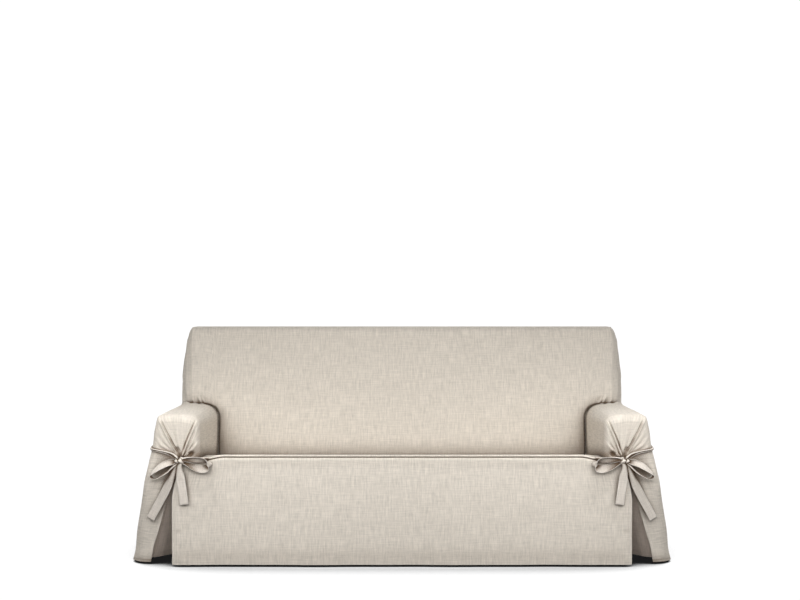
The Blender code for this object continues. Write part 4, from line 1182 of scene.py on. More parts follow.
    def side_columns(self, bend_z: Array, below: int, above: int) -> Array:
        """Columns round the side, from its front edge to the rear seam.

        Args:
            bend_z: Heights round the top's front edge.
            below: Number of rows under the panel's upper part.
            above: Number of rows over its top.

        Returns:
            The grid of these columns, hollow in the rows below and above.
        """
        foot = np.array((FORM.side_split + FORM.edge_gap,))
        z = np.concatenate((self.levels_of(foot)[0], bend_z))
        seam, reach = FORM.back_seams.at(z), FORM.back_sides.at(z)
        front, rear, depth = FORM.back_front(z, seam), FORM.back_rear(z), FORM.side_rounding(z)
        corner = np.minimum(FORM.rear_corner, reach - seam)
        columns = []
        for share in np.sin(quarter(self.side_bends[0]))[1:]:
            columns.append((mix(seam, reach, share), front + depth * FORM.side_turn(share)))
        for share in spread(0.0, 1.0, self.pitch / self.side_depth)[1:-1]:
            columns.append((reach, mix(front + depth, rear - FORM.rear_corner, share)))
        for turn in quarter(self.side_bends[1]):
            columns.append((reach - corner * (1.0 - math.cos(turn)),
                            rear - FORM.rear_corner * (1.0 - math.sin(turn))))
        upper = np.stack([stack(out, y, z) for out, y in columns])
        lower = np.full((len(columns), below, 3), HOLLOW)
        over = np.full((len(columns), above, 3), HOLLOW)
        return np.concatenate((lower, upper, over), axis=1)

    def grid(self) -> ClothGrid:
        """Places of the panel.

        Returns:
            Its grid, with the first direction from left to right.
        """
        half, side_from = self.half()
        middle_row = half.shape[1] // 2
        across = lengths(half[:, middle_row][:, None], 0)[:, 0]
        on_side = np.arange(len(half)) > side_from
        up = lengths(half, 1) + np.where(on_side, self.side_weave, 0.0)[:, None]
        points = mirrored(half, -1.0)
        across = np.concatenate((-across[:0:-1], across))
        up = np.concatenate((up[:0:-1], up))
        place = np.broadcast_to(across[:, None], up.shape)
        out, z = np.abs(points[..., 0]), points[..., 2]
        round_side = np.abs(place) - across[len(half) - 1 + side_from]
        on_side = ease(round_side / self.turning)
        on_face = 1.0 - on_side
        calm_from, calm_over = self.side_calm
        free = between(z, *self.slack_span) * ease((calm_from - out) / calm_over)
        lift = free * creased((self.slack, self.crush), place, z)
        lift = lift + on_face * creased(self.puckers, out, z)
        beside = FORM.beyond_arm(out, z) - self.tuck_waver.at(out, z)
        away = ease((beside - self.tuck_from) / self.tuck_breadth)
        lift = lift - on_face * self.tuck * (1.0 - away)
        fall, over = self.slope
        away = np.clip(FORM.beyond_arm(out, z) / over, 0.0, 1.0)
        lift = lift - on_face * fall * (1.0 - away) ** 2
        depth, height, breadth = self.seat_tuck
        lift = lift - depth * bell(np.maximum(z - height, 0.0), breadth) * (out < FORM.arm_in)
        rim = ease((z - FORM.side_split) / self.turning)
        beside = self.side_crush.at(place, z) + creased(self.side_folds, round_side, z)
        lift = lift + on_side * beside * rim
        cloth = stack(place, up)
        return ClothGrid(points, cloth, np.nan_to_num(lift))


# ---------------- outside back

@dataclass(frozen=True)
class OutsideBack(Piece):
    """Rear panel from the top seam to its hem."""

    node: str = "outside_back"
    rests_on: str = "inside_back"
    turned: bool = True
    linen: Linen = LINEN_REAR
    flat: Pair = (2.2, 0.94)
    area: float = 1.88
    pitch: float = 0.012
    loose_below: float = 0.75  # it hangs free of the form from this height down
    waves: Waves = Waves(((0.007, 0.48, 0.12), (0.0035, 0.23, 0.31)))
    slack: Unevenness = Unevenness(31, 0.09, 0.32, 0.0026)
    crush: Unevenness = Unevenness(32, 0.04, 0.09, 0.0008)
    folds: tuple[Crease, ...] = creases(  # as places (x, z), from where each starts to its end
        (((-0.93, 0.9), (-0.86, 0.76), (-0.81, 0.56), (-0.79, 0.3)),
         0.0102, 0.024, 0.0024, 0.0, 0.25, 0.4),
        (((-0.62, 0.64), (-0.6, 0.42), (-0.61, 0.2), (-0.6, 0.01)), 0.0153, 0.026, 0.003, 0.002),
        (((-0.33, 0.52), (-0.345, 0.3), (-0.33, 0.01)), 0.0136, 0.022, 0.0, 0.003),
        (((-0.08, 0.7), (-0.06, 0.45), (-0.09, 0.2), (-0.08, 0.01)), 0.0127, 0.03, 0.003, 0.003),
        (((0.24, 0.48), (0.225, 0.26), (0.24, 0.01)), 0.0161, 0.023, 0.003),
        (((0.52, 0.66), (0.54, 0.42), (0.525, 0.18), (0.535, 0.01)), 0.0136, 0.028, 0.0, 0.003),
        (((0.8, 0.42), (0.79, 0.24), (0.815, 0.01)), 0.0145, 0.022, 0.0025, 0.002),
        (((0.935, 0.89), (0.88, 0.74), (0.85, 0.54), (0.86, 0.32)),
         0.0093, 0.022, 0.0, 0.0022, 0.25, 0.4),
        (((-0.94, 0.56), (-0.9, 0.33), (-0.93, 0.1)), 0.0102, 0.02, 0.0, 0.002, 0.25, 0.2),
        (((0.42, 0.905), (0.3, 0.86), (0.12, 0.85)), 0.0037, 0.016, 0.001, 0.0, 0.25, 0.5),
        (((-0.5, 0.905), (-0.38, 0.865), (-0.2, 0.855)), 0.0034, 0.015, 0.001, 0.0, 0.25, 0.5),
    )

    def half_width(self, z: Array) -> Array:
        """Half of the panel's width at a height."""
        reach = FORM.back_sides.at(z)
        above = reach - np.minimum(FORM.rear_corner, reach - FORM.back_seams.at(z))
        below = FORM.side_out(z, FORM.rear_y(z)) - FORM.rear_corner
        return np.where(z > FORM.side_split, above, below) - FORM.edge_gap

    def grid(self) -> ClothGrid:
        """Places of the panel.

        Returns:
            Its grid, with the first direction from left to right.
        """
        top = FORM.back_top - FORM.back_rear_edge - FORM.edge_gap
        fine = FORM.hem + HEM_STEPS
        split = FORM.side_split
        heights = np.concatenate((fine, spread(fine[-1], split - FORM.edge_gap, self.pitch)[1:],
                                  spread(split + FORM.edge_gap, top, self.pitch)))
        shares = np.linspace(-1.0, 1.0, int(2.0 / self.pitch))
        share, z = np.meshgrid(shares, heights, indexing="ij")
        out = share * self.half_width(z)
        inward = 1.0 - share ** 6
        loose = ease((self.loose_below - z) / self.loose_below) * inward
        y = FORM.rear_y(z) + loose * self.waves.at(out)
        points = stack(out, y, z)
        lift = loose * self.slack.at(out, z) + inward * self.crush.at(out, z)
        lift = lift + inward * creased(self.folds, out, z) + hem_ply(z - FORM.hem)
        return ClothGrid(points, stack(out, z), lift, stack(out, z - FORM.hem))


# ---------------- arm covers

@dataclass(frozen=True)
class ArmCover(Piece):
    """Cover of one arm: inner face, top, front gathered to the knot, and side down to the hem."""

    node: str = "arm_cover"
    rests_on: str = "inside_back"
    hold: Hold = Hold.GATHERED
    linen: Linen = LINEN_ARM_SHADED
    flat: Pair = (1.1, 1.02)
    area: float = 0.85
    knot: Pair = (0.902, 0.438)  # out and height of the knot
    eye: float = 0.012  # the gathered cloth ends in a ring of this radius
    fold_depth: float = 0.06
    counts: tuple[int, ...] = (24, 30, 38, 12, 88)  # rows of each part of the outline
    middle: Pair = (0.92, 0.52)  # middle of the arm, towards which it is tucked in
    tuck: tuple[Pair, ...] = ((0.01, 0.011), (0.0058, 0.0085), (0.0018, 0.0045))
    side_from: float = 0.612  # depth at which the side's columns start
    columns: tuple[int, ...] = (26, 62, 13, 58)  # behind that, along the arm, round its edge, ahead
    measured_at: int = 20  # its cloth is measured this many columns behind the front edge
    edge_grows: float = 0.55  # the inner edge's rounding grows towards the rear over this
    above_hem: float = 0.005
    corner_share: float = 0.96  # the front corner takes at most this share of its way
    meets: float = 0.56  # about where it meets the back
    rear_gap: Pair = (0.0039, 0.00195)  # it ends this far in from and before the back's cloth
    lap_over: float = 0.06
    pleats_at: float = 0.026  # the gathered pleats stand highest this far from the knot
    pleat_height: float = 0.0016
    pleats_below: Pair = (0.02, 0.03)  # they start this far below it, over this
    pleat_rays: tuple[tuple[float, ...], ...] = (  # share of that height, number, start and sway
        (1.0, 9.0, 0.0, 0.9), (0.6, 17.0, 1.7, 0.0), (0.4, 26.0, 0.4, 0.0))
    folds_end: Pair = (0.06, 0.04)  # the front's folds end at this depth, over this
    tugs_start: Pair = (0.03, 0.05)  # and the strap's tugs start at this one, over this
    loose_over: float = 0.1  # the side hangs loose from its split down, over this
    open_below: float = 0.03  # its front fold hangs free from this far below the knot
    lap: Profile = Profile((  # how far its rear edge laps up the back, by its place
        (0.88, 0.0), (0.902, 0.004), (0.918, 0.0005), (0.936, 0.005), (0.952, 0.002),
        (0.978, 0.0125), (1.0, 0.005)))
    gather: float = 1.3
    side_fold: Profile = Profile((
        (0.438, 0.914), (0.41, 0.911), (0.375, 0.919), (0.271, 0.962), (0.208, 0.983),
        (0.142, 1.003), (0.077, 1.024), (0.01, 1.036)))
    folds: tuple[Crease, ...] = creases(  # on the front, as places (out, z), from its edges inwards
        (((0.996, 0.601), (0.973, 0.554), (0.949, 0.509), (0.917, 0.455)),
         0.0052, 0.0038, 0.0, 0.0032, 0.08),
        (((1.0, 0.57), (0.978, 0.527), (0.956, 0.496), (0.924, 0.461)),
         0.0022, 0.0056, 0.0, 0.0006, 0.15),
        (((1.012, 0.535), (0.985, 0.499), (0.955, 0.475), (0.926, 0.456)),
         0.003, 0.0052, 0.0, 0.0016),
        (((0.838, 0.6), (0.854, 0.562), (0.874, 0.517), (0.896, 0.456)),
         0.0052, 0.0038, 0.0032, 0.0, 0.08),
        (((0.834, 0.572), (0.847, 0.535), (0.864, 0.498), (0.89, 0.456)),
         0.0026, 0.005, 0.001, 0.0, 0.2),
        (((0.83, 0.52), (0.846, 0.494), (0.864, 0.474), (0.886, 0.452)),
         0.0034, 0.0046, 0.0018, 0.0, 0.3),
        (((0.923, 0.59), (0.918, 0.53), (0.907, 0.456)), 0.0016, 0.0075, 0.0008),
        (((0.948, 0.56), (0.933, 0.505), (0.912, 0.458)), 0.0022, 0.005, 0.0, 0.0012),
        (((0.893, 0.56), (0.896, 0.505), (0.8995, 0.456)), 0.0022, 0.0048, 0.0012),
        (((0.926, 0.494), (0.92, 0.482), (0.913, 0.468)), -0.0052, 0.0066, 0.0, 0.0, 0.4, 0.3),
        (((0.854, 0.472), (0.863, 0.462), (0.875, 0.455)), -0.0125, 0.0086, 0.0, 0.0, 0.4, 0.3),
        (((1.016, 0.49), (0.97, 0.472), (0.925, 0.45)), 0.0032, 0.0048, 0.0, 0.0016),
        (((1.024, 0.456), (0.982, 0.448), (0.93, 0.442)), 0.0024, 0.0055, 0.0014),
    )
    inner_pleats: tuple[Crease, ...] = creases(  # on the inner face by the front, as places (y, z)
        (((0.052, 0.59), (0.046, 0.53), (0.05, 0.44)), 0.0026, 0.004, 0.0022, 0.001, 0.2, 0.1),
        (((0.086, 0.56), (0.078, 0.5), (0.082, 0.44)), 0.0014, 0.0055, 0.001, 0.0, 0.3),
    )
    hanging: tuple[Crease, ...] = creases(  # on the front part of the side, as places (out, z)
        (((0.96, 0.4), (0.986, 0.32), (1.018, 0.19), (1.04, 0.05)), 0.0036, 0.013, 0.0012),
        (((0.99, 0.41), (1.028, 0.29), (1.052, 0.15), (1.07, 0.02)),
         -0.0026, 0.014, 0.0, 0.0, 0.25, 0.1),
        (((1.018, 0.43), (1.048, 0.33), (1.07, 0.24)), 0.0022, 0.011, 0.0, 0.0, 0.25, 0.5),
    )
    strap_tugs: tuple[Crease, ...] = creases(  # on the side, from the sewn strap, as places (y, z)
        (((0.15, 0.487), (0.23, 0.455), (0.33, 0.44)), 0.004, 0.009, 0.0016, 0.0, 0.1, 0.6),
        (((0.15, 0.487), (0.24, 0.5), (0.35, 0.525)), 0.0036, 0.009, 0.0, 0.0014, 0.1, 0.6),
        (((0.15, 0.48), (0.21, 0.4), (0.27, 0.29)), 0.004, 0.012, 0.0016, 0.0, 0.1, 0.5),
    )
    slack: Unevenness = Unevenness(41, 0.12, 0.17, 0.0014)
    crush: Unevenness = Unevenness(42, 0.036, 0.05, 0.0005)
    creases_top: Unevenness = Unevenness(43, 0.024, 0.12, 0.0005)

    def section(self, y: Array, counts: tuple[int, ...]) -> tuple[Array, Array]:
        """The cover's outline at a depth, from its inner foot to its outer hem.

        Args:
            y: Depths, with a row for each place of the outline.
            counts: Number of places up the inner face, round its edge, over the top, round the
                outer edge and down the side.

        Returns:
            Their distances from the middle, and their heights.
        """
        face, bend, top, edge, side = np.split(y, np.cumsum(counts)[:-1])
        inner = [mix(*FORM.arm_inner_edge, np.clip(part / self.edge_grows, 0.0, 1.0))
                 for part in (face, bend, top)]
        share = (np.arange(counts[0]) / counts[0])[:, None]
        foot = FORM.seat_height(face) - FORM.tuck
        outs = [np.full_like(face, FORM.arm_in)]
        heights = [mix(foot, FORM.arm_top - inner[0], share)]
        turn = (np.pi - 0.5 * np.pi * np.arange(counts[1]) / counts[1])[:, None]
        outs.append(FORM.arm_in + inner[1] + inner[1] * np.cos(turn))
        heights.append(FORM.arm_top - inner[1] + inner[1] * np.sin(turn))
        share = (np.arange(counts[2]) / counts[2])[:, None]
        outs.append(mix(FORM.arm_in + inner[2], FORM.arm_out - FORM.arm_edge, share))
        heights.append(FORM.arm_top + FORM.arm_crown * np.sin(np.pi * share) + 0.0 * top)
        turn = (0.5 * np.pi * (1.0 - np.arange(counts[3]) / counts[3]))[:, None]
        outs.append(FORM.arm_out - FORM.arm_edge * (1.0 - np.cos(turn)) + 0.0 * edge)
        heights.append(FORM.arm_top - FORM.arm_edge * (1.0 - np.sin(turn)) + 0.0 * edge)
        z = self.side_heights(counts[4])[:, None] + 0.0 * side
        outs.append(FORM.side_out(z, side))
        heights.append(z)
        return np.concatenate(outs), np.concatenate(heights)

    def side_heights(self, count: int) -> Array:
        """Heights of the side's rows, closer at its hem."""
        fine = FORM.hem + HEM_STEPS[::-1]
        above = fine[0] + self.above_hem
        return np.concatenate((np.linspace(FORM.side_split, above, count - len(fine)), fine))

    def target(self, out: Array, z: Array) -> tuple[Array, Array]:
        """Where the front's cloth runs to: the ring under the knot, or the side's front fold."""
        away_out, away_z = out - self.knot[0], z - self.knot[1]
        reach = np.hypot(away_out, away_z)
        to_fold = (out > self.knot[0]) & (z < self.knot[1])
        ring_out = self.knot[0] + self.eye * away_out / reach
        goal_out = np.where(to_fold, self.side_fold.at(z), ring_out)
        goal_z = np.where(to_fold, z, self.knot[1] + self.eye * away_z / reach)
        return goal_out, goal_z

    def grid(self) -> ClothGrid:
        """Places of the cover on the right-hand side.

        Returns:
            Its grid, with the first direction round the arm and the second from the rear forward.
        """
        counts = self.counts
        rows, first_side = sum(counts), sum(counts[:4])
        is_side = (np.arange(rows) >= first_side)[:, None]
        out_front, z_front = self.section(np.zeros((rows, 1)), counts)
        hang = np.where(is_side, ease((self.knot[1] - z_front) / self.knot[1]), 0.0)
        face = mix(FORM.arm_front, self.fold_depth, hang)
        goal_out, goal_z = self.target(out_front, z_front)
        reach = np.hypot(goal_out - out_front, goal_z - z_front)
        radius = np.minimum(mix(*FORM.corner, hang), self.corner_share * reach)
        way_out, way_z = (goal_out - out_front) / reach, (goal_z - z_front) / reach
        out_rear, z_rear = self.section(np.full((rows, 1), self.meets), counts)
        aside, before = self.rear_gap
        inside = np.minimum(out_rear, FORM.back_sides.at(z_rear)) - aside
        meet = FORM.back_front(z_rear, inside) - before
        end = np.where(is_side, self.side_from, meet)
        rear = self.rear_part(z_front, end, is_side)
        lengthwise = np.linspace(0.0, 1.0, self.columns[1])[None, :-1]
        y = mix(end, face + radius, lengthwise)
        out, z = self.section(y, counts)
        lap = np.where(is_side | (z < FORM.arm_top - FORM.arm_edge), 0.0, self.lap.at(out))
        along = stack(out, y, z + lap * ease((y - end + self.lap_over) / self.lap_over) ** 2)
        bends, runs = self.columns[2:]
        turn = np.radians(np.concatenate((np.linspace(0, 90, bends), np.full(runs, 90.0))))[None]
        share = np.concatenate((np.zeros(bends), np.linspace(0.0, 1.0, runs + 1)[1:]))[None]
        gathered = 1.0 - (1.0 - share) ** self.gather
        ahead = radius * (1.0 - np.cos(turn)) + (reach - radius) * gathered
        out, z = out_front + way_out * ahead, z_front + way_z * ahead
        y = face + radius * (1.0 - np.sin(turn))
        front = stack(out, y - self.front_folds(out, y, z), z)
        points = np.concatenate((rear, along, front), axis=1)
        bend = rear.shape[1] + along.shape[1]
        return self.as_cloth(points, bend, first_side)

    def rear_part(self, z: Array, end: Array, is_side: Array) -> Array:
        """The side behind the back's front; the other rows only turn in there."""
        rear = FORM.rear_y(z)
        turn = np.radians(np.linspace(90, 0, 6))[None]
        y = rear - FORM.rear_corner * (1.0 - np.sin(turn))
        out = FORM.side_out(z + 0.0 * y, y) - FORM.rear_corner * (1.0 - np.cos(turn))
        share = np.linspace(0.0, 1.0, self.columns[0])[None, 1:-1]
        straight_y = mix(rear - FORM.rear_corner, end, share)
        straight_out = FORM.side_out(z + 0.0 * straight_y, straight_y)
        y = np.concatenate((y, straight_y), axis=1)
        out = np.concatenate((out, straight_out), axis=1)
        part = stack(out, y, z + 0.0 * y)
        return np.where(is_side[..., None], part, self.tucked(part.shape, end))

    def tucked(self, shape: tuple[int, ...], end: Array) -> Array:
        """The last columns of the inner face and top, which turn in where they meet the back.

        Args:
            shape: Shape of the part behind them.
            end: Depth at which each row meets the back.

        Returns:
            The part, hollow but for these columns.
        """
        part = np.full(shape, HOLLOW)
        for column, (inward, behind) in zip((-3, -2, -1), self.tuck):
            out, z = self.section(np.asarray(end), self.counts)
            way_out, way_z = self.middle[0] - out, self.middle[1] - z
            reach = np.hypot(way_out, way_z)
            part[:, column] = np.hstack((out + way_out / reach * inward, end + behind,
                                         z + way_z / reach * inward))
        return part

    def front_folds(self, out: Array, y: Array, z: Array) -> Array:
        """How far the folds of the gathered front stand out of it."""
        raised = creased(self.folds, out, z) + creased(self.hanging, out, z)
        far = np.hypot(out - self.knot[0], z - self.knot[1])
        angle = np.arctan2(z - self.knot[1], out - self.knot[0])
        pleats = sum(share * np.sin(number * angle + start + sway * np.sin(2.0 * angle))
                     for share, number, start, sway in self.pleat_rays)
        close = bell(far - self.pleats_at, self.pleats_at)
        below, over = self.pleats_below
        above = ease((z - self.knot[1] + below) / over)
        end, over = self.folds_end
        return (raised + self.pleat_height * close * pleats * above) * ease((end - y) / over)

    def as_cloth(self, points: Array, bend: int, first_side: int) -> ClothGrid:
        """Add the flat cloth's coordinates, the hems and the slack.

        Args:
            points: The grid of places.
            bend: Number of the column where the front edge starts.
            first_side: Number of the row where the side starts.

        Returns:
            The finished grid.
        """
        out, y, z = (points[..., i] for i in range(3))
        middle = points[:, bend - self.measured_at][:, None]
        round_arm = np.broadcast_to(lengths(middle, 0)[:, :1].reshape(-1, 1), out.shape)
        run = lengths(points, 1)
        run = run - run[:, bend][:, None]
        on_side = (np.arange(len(points)) >= first_side)[:, None]
        edge_run = run[:, -1:] - run
        to_hem = np.where(on_side, z - FORM.hem, WIDE)
        fold_row = np.nan_to_num(z[:, -1:]) < self.knot[1] - self.open_below
        to_fold = np.where(on_side & fold_row, edge_run, WIDE)
        near = np.nan_to_num(np.minimum(to_hem, to_fold), nan=WIDE)
        hem = stack(np.where(to_hem < to_fold, run, z), near)
        free_rear = ease((self.meets - y) / self.lap_over)
        start, over = self.tugs_start
        inward = ease((y - start) / over)
        slack = creased((self.slack, self.crush), round_arm, run)
        loose = np.where(on_side, ease((FORM.side_split - z) / self.loose_over), free_rear)
        on_top = np.where(on_side, 0.0, free_rear) * self.creases_top.at(round_arm, run)
        lift = loose * slack + on_top
        tugs = np.where(on_side, creased(self.strap_tugs, y, z) * inward, 0.0)
        on_inner = (np.arange(len(points)) < self.counts[0])[:, None]
        tugs = tugs + np.where(on_inner, creased(self.inner_pleats, y, z), 0.0)
        lift = lift + tugs + np.where(on_side, hem_ply(to_hem), 0.0)
        cloth = stack(round_arm, -run)
        return ClothGrid(points, cloth, np.nan_to_num(lift), np.nan_to_num(hem, nan=WIDE))


@dataclass(frozen=True)
class PleatUnderlay(Piece):
    """Pleat that closes the corner behind the front skirt and the side's front fold."""

    node: str = "pleat_underlay"
    rests_on: str = "arm_cover"
    paired_rest: bool = True
    turned: bool = True
    linen: Linen = LINEN_PLEAT_LIGHTENED
    flat: Pair = (0.3, 0.46)
    area: float = 0.075
    top: float = 0.434
    rise: float = 0.008
    calm_over: float = 0.3  # share of its depth over which its slack grows from the top
    columns: int = 49
    rows: int = 60
    above_hem: float = 0.01  # share of its depth
    bow: Pair = (0.9, 1.1)  # how its places go over from top to hem, across and back
    top_out: Profile = evenly(0.926, 0.916, 0.906, 0.896, 0.884, 0.87)
    top_y: Profile = evenly(0.0146, 0.0146, 0.015, 0.016, 0.017, 0.018)
    hem_out: Profile = evenly(1.075, 1.042, 1.008, 0.974, 0.93, 0.88)
    hem_y: Profile = evenly(0.118, 0.118, 0.145, 0.185, 0.215, 0.225)
    slack: Unevenness = Unevenness(51, 0.03, 0.16, 0.0014)

    def grid(self) -> ClothGrid:
        """Places of the pleat on the right-hand side.

        Returns:
            Its grid, with the first direction from the side inwards.
        """
        low = FORM.hem + self.rise
        depth = self.top - low
        fine = HEM_STEPS[::-1] / depth
        downs = np.linspace(0.0, 1.0 - fine[0] - self.above_hem, self.rows)
        downs = np.concatenate((downs, 1.0 - fine))
        share, down = np.meshgrid(np.linspace(0.0, 1.0, self.columns), downs, indexing="ij")
        z = mix(self.top, low, down)
        out = mix(self.top_out.at(share), self.hem_out.at(share), down ** self.bow[0])
        y = mix(self.top_y.at(share), self.hem_y.at(share), down ** self.bow[1])
        points = stack(out, y, z)
        across = lengths(points[:, -10][:, None], 0)[:, :1].reshape(-1, 1) + 0.0 * out
        free = ease(down / self.calm_over) * np.sin(np.pi * np.clip(share, 0.0, 1.0))
        lift = self.slack.at(across, z) * free
        hem = stack(across, z - low)
        return ClothGrid(points, stack(across, z), lift, hem)


# ---------------- ties

TIE_EDGE = (1.0, 0.93, 0.86, 0.78)  # rows beside a tie's edge, as shares of half its width
TIE_MIDDLE = (-0.66, 0.66, 11)  # and the ones between them: first, last and how many
TIE_STEPS = 9  # stretches between two of its given places
TIE_FLAT = 0.9999  # its width is taken to be less than this share of what was cut
TIE_BENDS = (0.02, 2.75)  # least and most that each half of it curls in, in radians
TIE_PLY = (0.003, 0.001, 0.0005)  # its sewn edge, as HEM_PLY
TIE_RIPPLES = (0.016, 0.03)  # pitches of its ripples across and along it


@dataclass(frozen=True)
class Band:
    """One stretch of a tie, as rows (out, y, z, width, and the way its width points).

    Args:
        name: Which stretch it is.
        rows: The rows, from its first end to its last.
        curl: Which way the band curls in where it is drawn narrower than it was cut, 1 or -1.
        uneven: Height of its small ripples.
    """

    name: str
    rows: tuple[tuple[float, ...], ...]
    curl: int = 1
    uneven: float = 0.0008

    def grid(self, cut: float, seed: int) -> ClothGrid:
        """Places of the band on the right-hand side.

        Args:
            cut: Width to which it was cut and sewn.
            seed: Seed of its ripples.

        Returns:
            Its grid, with the first direction along it.
        """
        path = smooth_path(np.array(self.rows), TIE_STEPS)
        centre, width, across = path[:, :3], path[:, 3], path[:, 4:7]
        ahead = np.gradient(centre, axis=0)
        ahead /= np.linalg.norm(ahead, axis=1, keepdims=True)
        across = across - ahead * np.sum(ahead * across, axis=1, keepdims=True)
        across /= np.linalg.norm(across, axis=1, keepdims=True)
        up = np.cross(ahead, across)
        edge = np.array(TIE_EDGE)
        share = np.concatenate((-edge, np.linspace(*TIE_MIDDLE), edge[::-1]))
        bends = np.linspace(*TIE_BENDS, 60)
        ratio = np.where(bends < np.pi / 2, np.sin(bends) / bends, 1.0 / bends)
        bend = np.interp(-np.minimum(width / cut, TIE_FLAT), -ratio, bends)[:, None]
        radius = 0.5 * width[:, None] / np.where(bend < np.pi / 2, np.sin(bend), 1.0)
        angle = bend * share[None]
        aside, rise = radius * np.sin(angle), radius * (np.cos(angle) - 0.5 * (1.0 + np.cos(bend)))
        run = lengths(centre[:, None], 0)[:, :1].reshape(-1, 1) + 0.0 * angle
        flat = cut / 2 * share[None] + 0.0 * angle
        ripple = Unevenness(seed, *TIE_RIPPLES, self.uneven).at(flat, run)
        points = (centre[:, None] + across[:, None] * aside[..., None]
                  + up[:, None] * (self.curl * rise)[..., None])
        near = np.minimum(cut / 2 - np.abs(flat), np.minimum(run, run[-1:] - run) + 0.002)
        deep, over, thick = TIE_PLY
        lift = ripple + thick * ease((deep - near) / over)
        return ClothGrid(points, stack(flat, run), lift, stack(run, near))


@dataclass(frozen=True)
class Knot:
    """Half of a knot: a rounded lump with the pleats of the bands that are drawn through it."""

    centre: Triple
    radii: Triple
    pleats: int = 4
    depth: float = 0.0042
    open_end: float = 0.04  # angle that its two ends leave open
    counts: tuple[int, int] = (26, 41)  # rows from end to end, and places round it
    twist: Pair = (1.6, 0.6)  # how far the pleats are turned, and where
    weave: Pair = (0.01, 0.012)  # cloth to a radian, round it and along it

    def grid(self) -> ClothGrid:
        """Places of the half knot on the right-hand side."""
        tilts = np.linspace(self.open_end, np.pi - self.open_end, self.counts[0])
        turns = np.linspace(0.0, 2 * np.pi, self.counts[1])
        tilt, turn = np.meshgrid(tilts, turns, indexing="ij")
        twisted = self.twist[0] * np.cos(turn + self.twist[1])
        pull = 1.0 + self.depth / self.radii[0] * np.sin(self.pleats * tilt + twisted)
        out = self.centre[0] + self.radii[0] * pull * np.sin(tilt) * np.cos(turn)
        y = self.centre[1] + self.radii[1] * pull * np.sin(tilt) * np.sin(turn)
        z = self.centre[2] + self.radii[2] * np.cos(tilt)
        points = stack(out, y, z)
        cloth = stack(self.weave[0] * turn, self.weave[1] * tilt)
        return ClothGrid(points, cloth, np.zeros(tilt.shape))


@dataclass(frozen=True)
class Tie(Piece):
    """A tie: its strap, its half of the bow, its tail and its half of the knot."""

    linen: Linen = LINEN_TIE
    turned: bool = True
    bands: tuple[Band, ...] = ()
    knot: Knot | None = None
    seed: int = 61

    def whole(self, name: str, material: Material) -> Object:
        """Object of the tie, whose stretches are one piece of cloth."""
        grids = {band.name: band.grid(self.flat[0], self.seed + i)
                 for i, band in enumerate(self.bands)}
        grids["knot"] = self.knot.grid()
        stem = name.removesuffix("cloth")
        things = [self.sewn(grid, stem + word, material) for word, grid in grids.items()]
        return joined(things, name)


def joined(things: Sequence[Object], name: str) -> Object:
    """One object from several with their modifiers applied, under a new name."""
    view = bpy.context.evaluated_depsgraph_get()
    view.update()
    for thing in things:
        shaped = bpy.data.meshes.new_from_object(thing.evaluated_get(view))
        thing.modifiers.clear()
        thing.data = shaped
    with bpy.context.temp_override(active_object=things[0], selected_editable_objects=list(things)):
        bpy.ops.object.join()
    things[0].name = name
    return things[0]


OUTER_BANDS = (
    Band("strap", (
        (1.029, 0.15, 0.487, 0.015, -0.22, 0.0, 1.0),
        (1.0297, 0.085, 0.484, 0.013, -0.22, 0.0, 1.0),
        (1.03, 0.046, 0.481, 0.011, -0.2, 0.0, 1.0), (1.0205, 0.015, 0.478, 0.01, 0.0, 0.0, 1.0),
        (0.994, 0.003, 0.474, 0.01, 0.0, 0.0, 1.0), (0.962, -0.001, 0.468, 0.012, 0.0, 0.0, 1.0),
        (0.934, -0.008, 0.459, 0.015, 0.0, -0.2, 1.0),
        (0.915, -0.015, 0.445, 0.016, 0.0, -0.3, 1.0))),
    Band("loop", (
        (0.915, -0.016, 0.442, 0.01, 0.0, -0.3, -0.95),
        (0.93, -0.019, 0.432, 0.022, 0.0, -0.4, -0.9),
        (0.9532, -0.022, 0.426, 0.03, 0.0, -0.55, -0.83),
        (0.9857, -0.023, 0.41, 0.034, 0.0, -0.7, -0.71),
        (1.012, -0.022, 0.389, 0.034, 0.0, -0.9, -0.44),
        (1.021, -0.021, 0.376, 0.034, 0.0, -0.98, -0.2),
        (1.01, -0.021, 0.366, 0.034, 0.0, -1.0, 0.0),
        (0.9857, -0.021, 0.371, 0.033, 0.0, -0.98, 0.1),
        (0.9532, -0.019, 0.391, 0.028, 0.0, -0.95, 0.25),
        (0.928, -0.017, 0.414, 0.02, 0.0, -0.85, 0.5),
        (0.915, -0.016, 0.427, 0.01, 0.0, -0.75, 0.66))),
    Band("tail", (
        (0.9165, -0.015, 0.432, 0.011, 0.9, 0.0, 0.43),
        (0.924, -0.014, 0.414, 0.02, 0.9, 0.0, 0.43),
        (0.937, -0.011, 0.378, 0.027, 0.9, 0.1, 0.4), (0.957, -0.006, 0.329, 0.034, 0.9, 0.1, 0.41),
        (0.985, 0.003, 0.276, 0.0345, 0.9, 0.2, 0.43), (1.008, 0.01, 0.235, 0.0345, 0.9, 0.2, 0.43),
        (1.031, 0.017, 0.194, 0.0345, 0.9, 0.2, 0.43))),
)
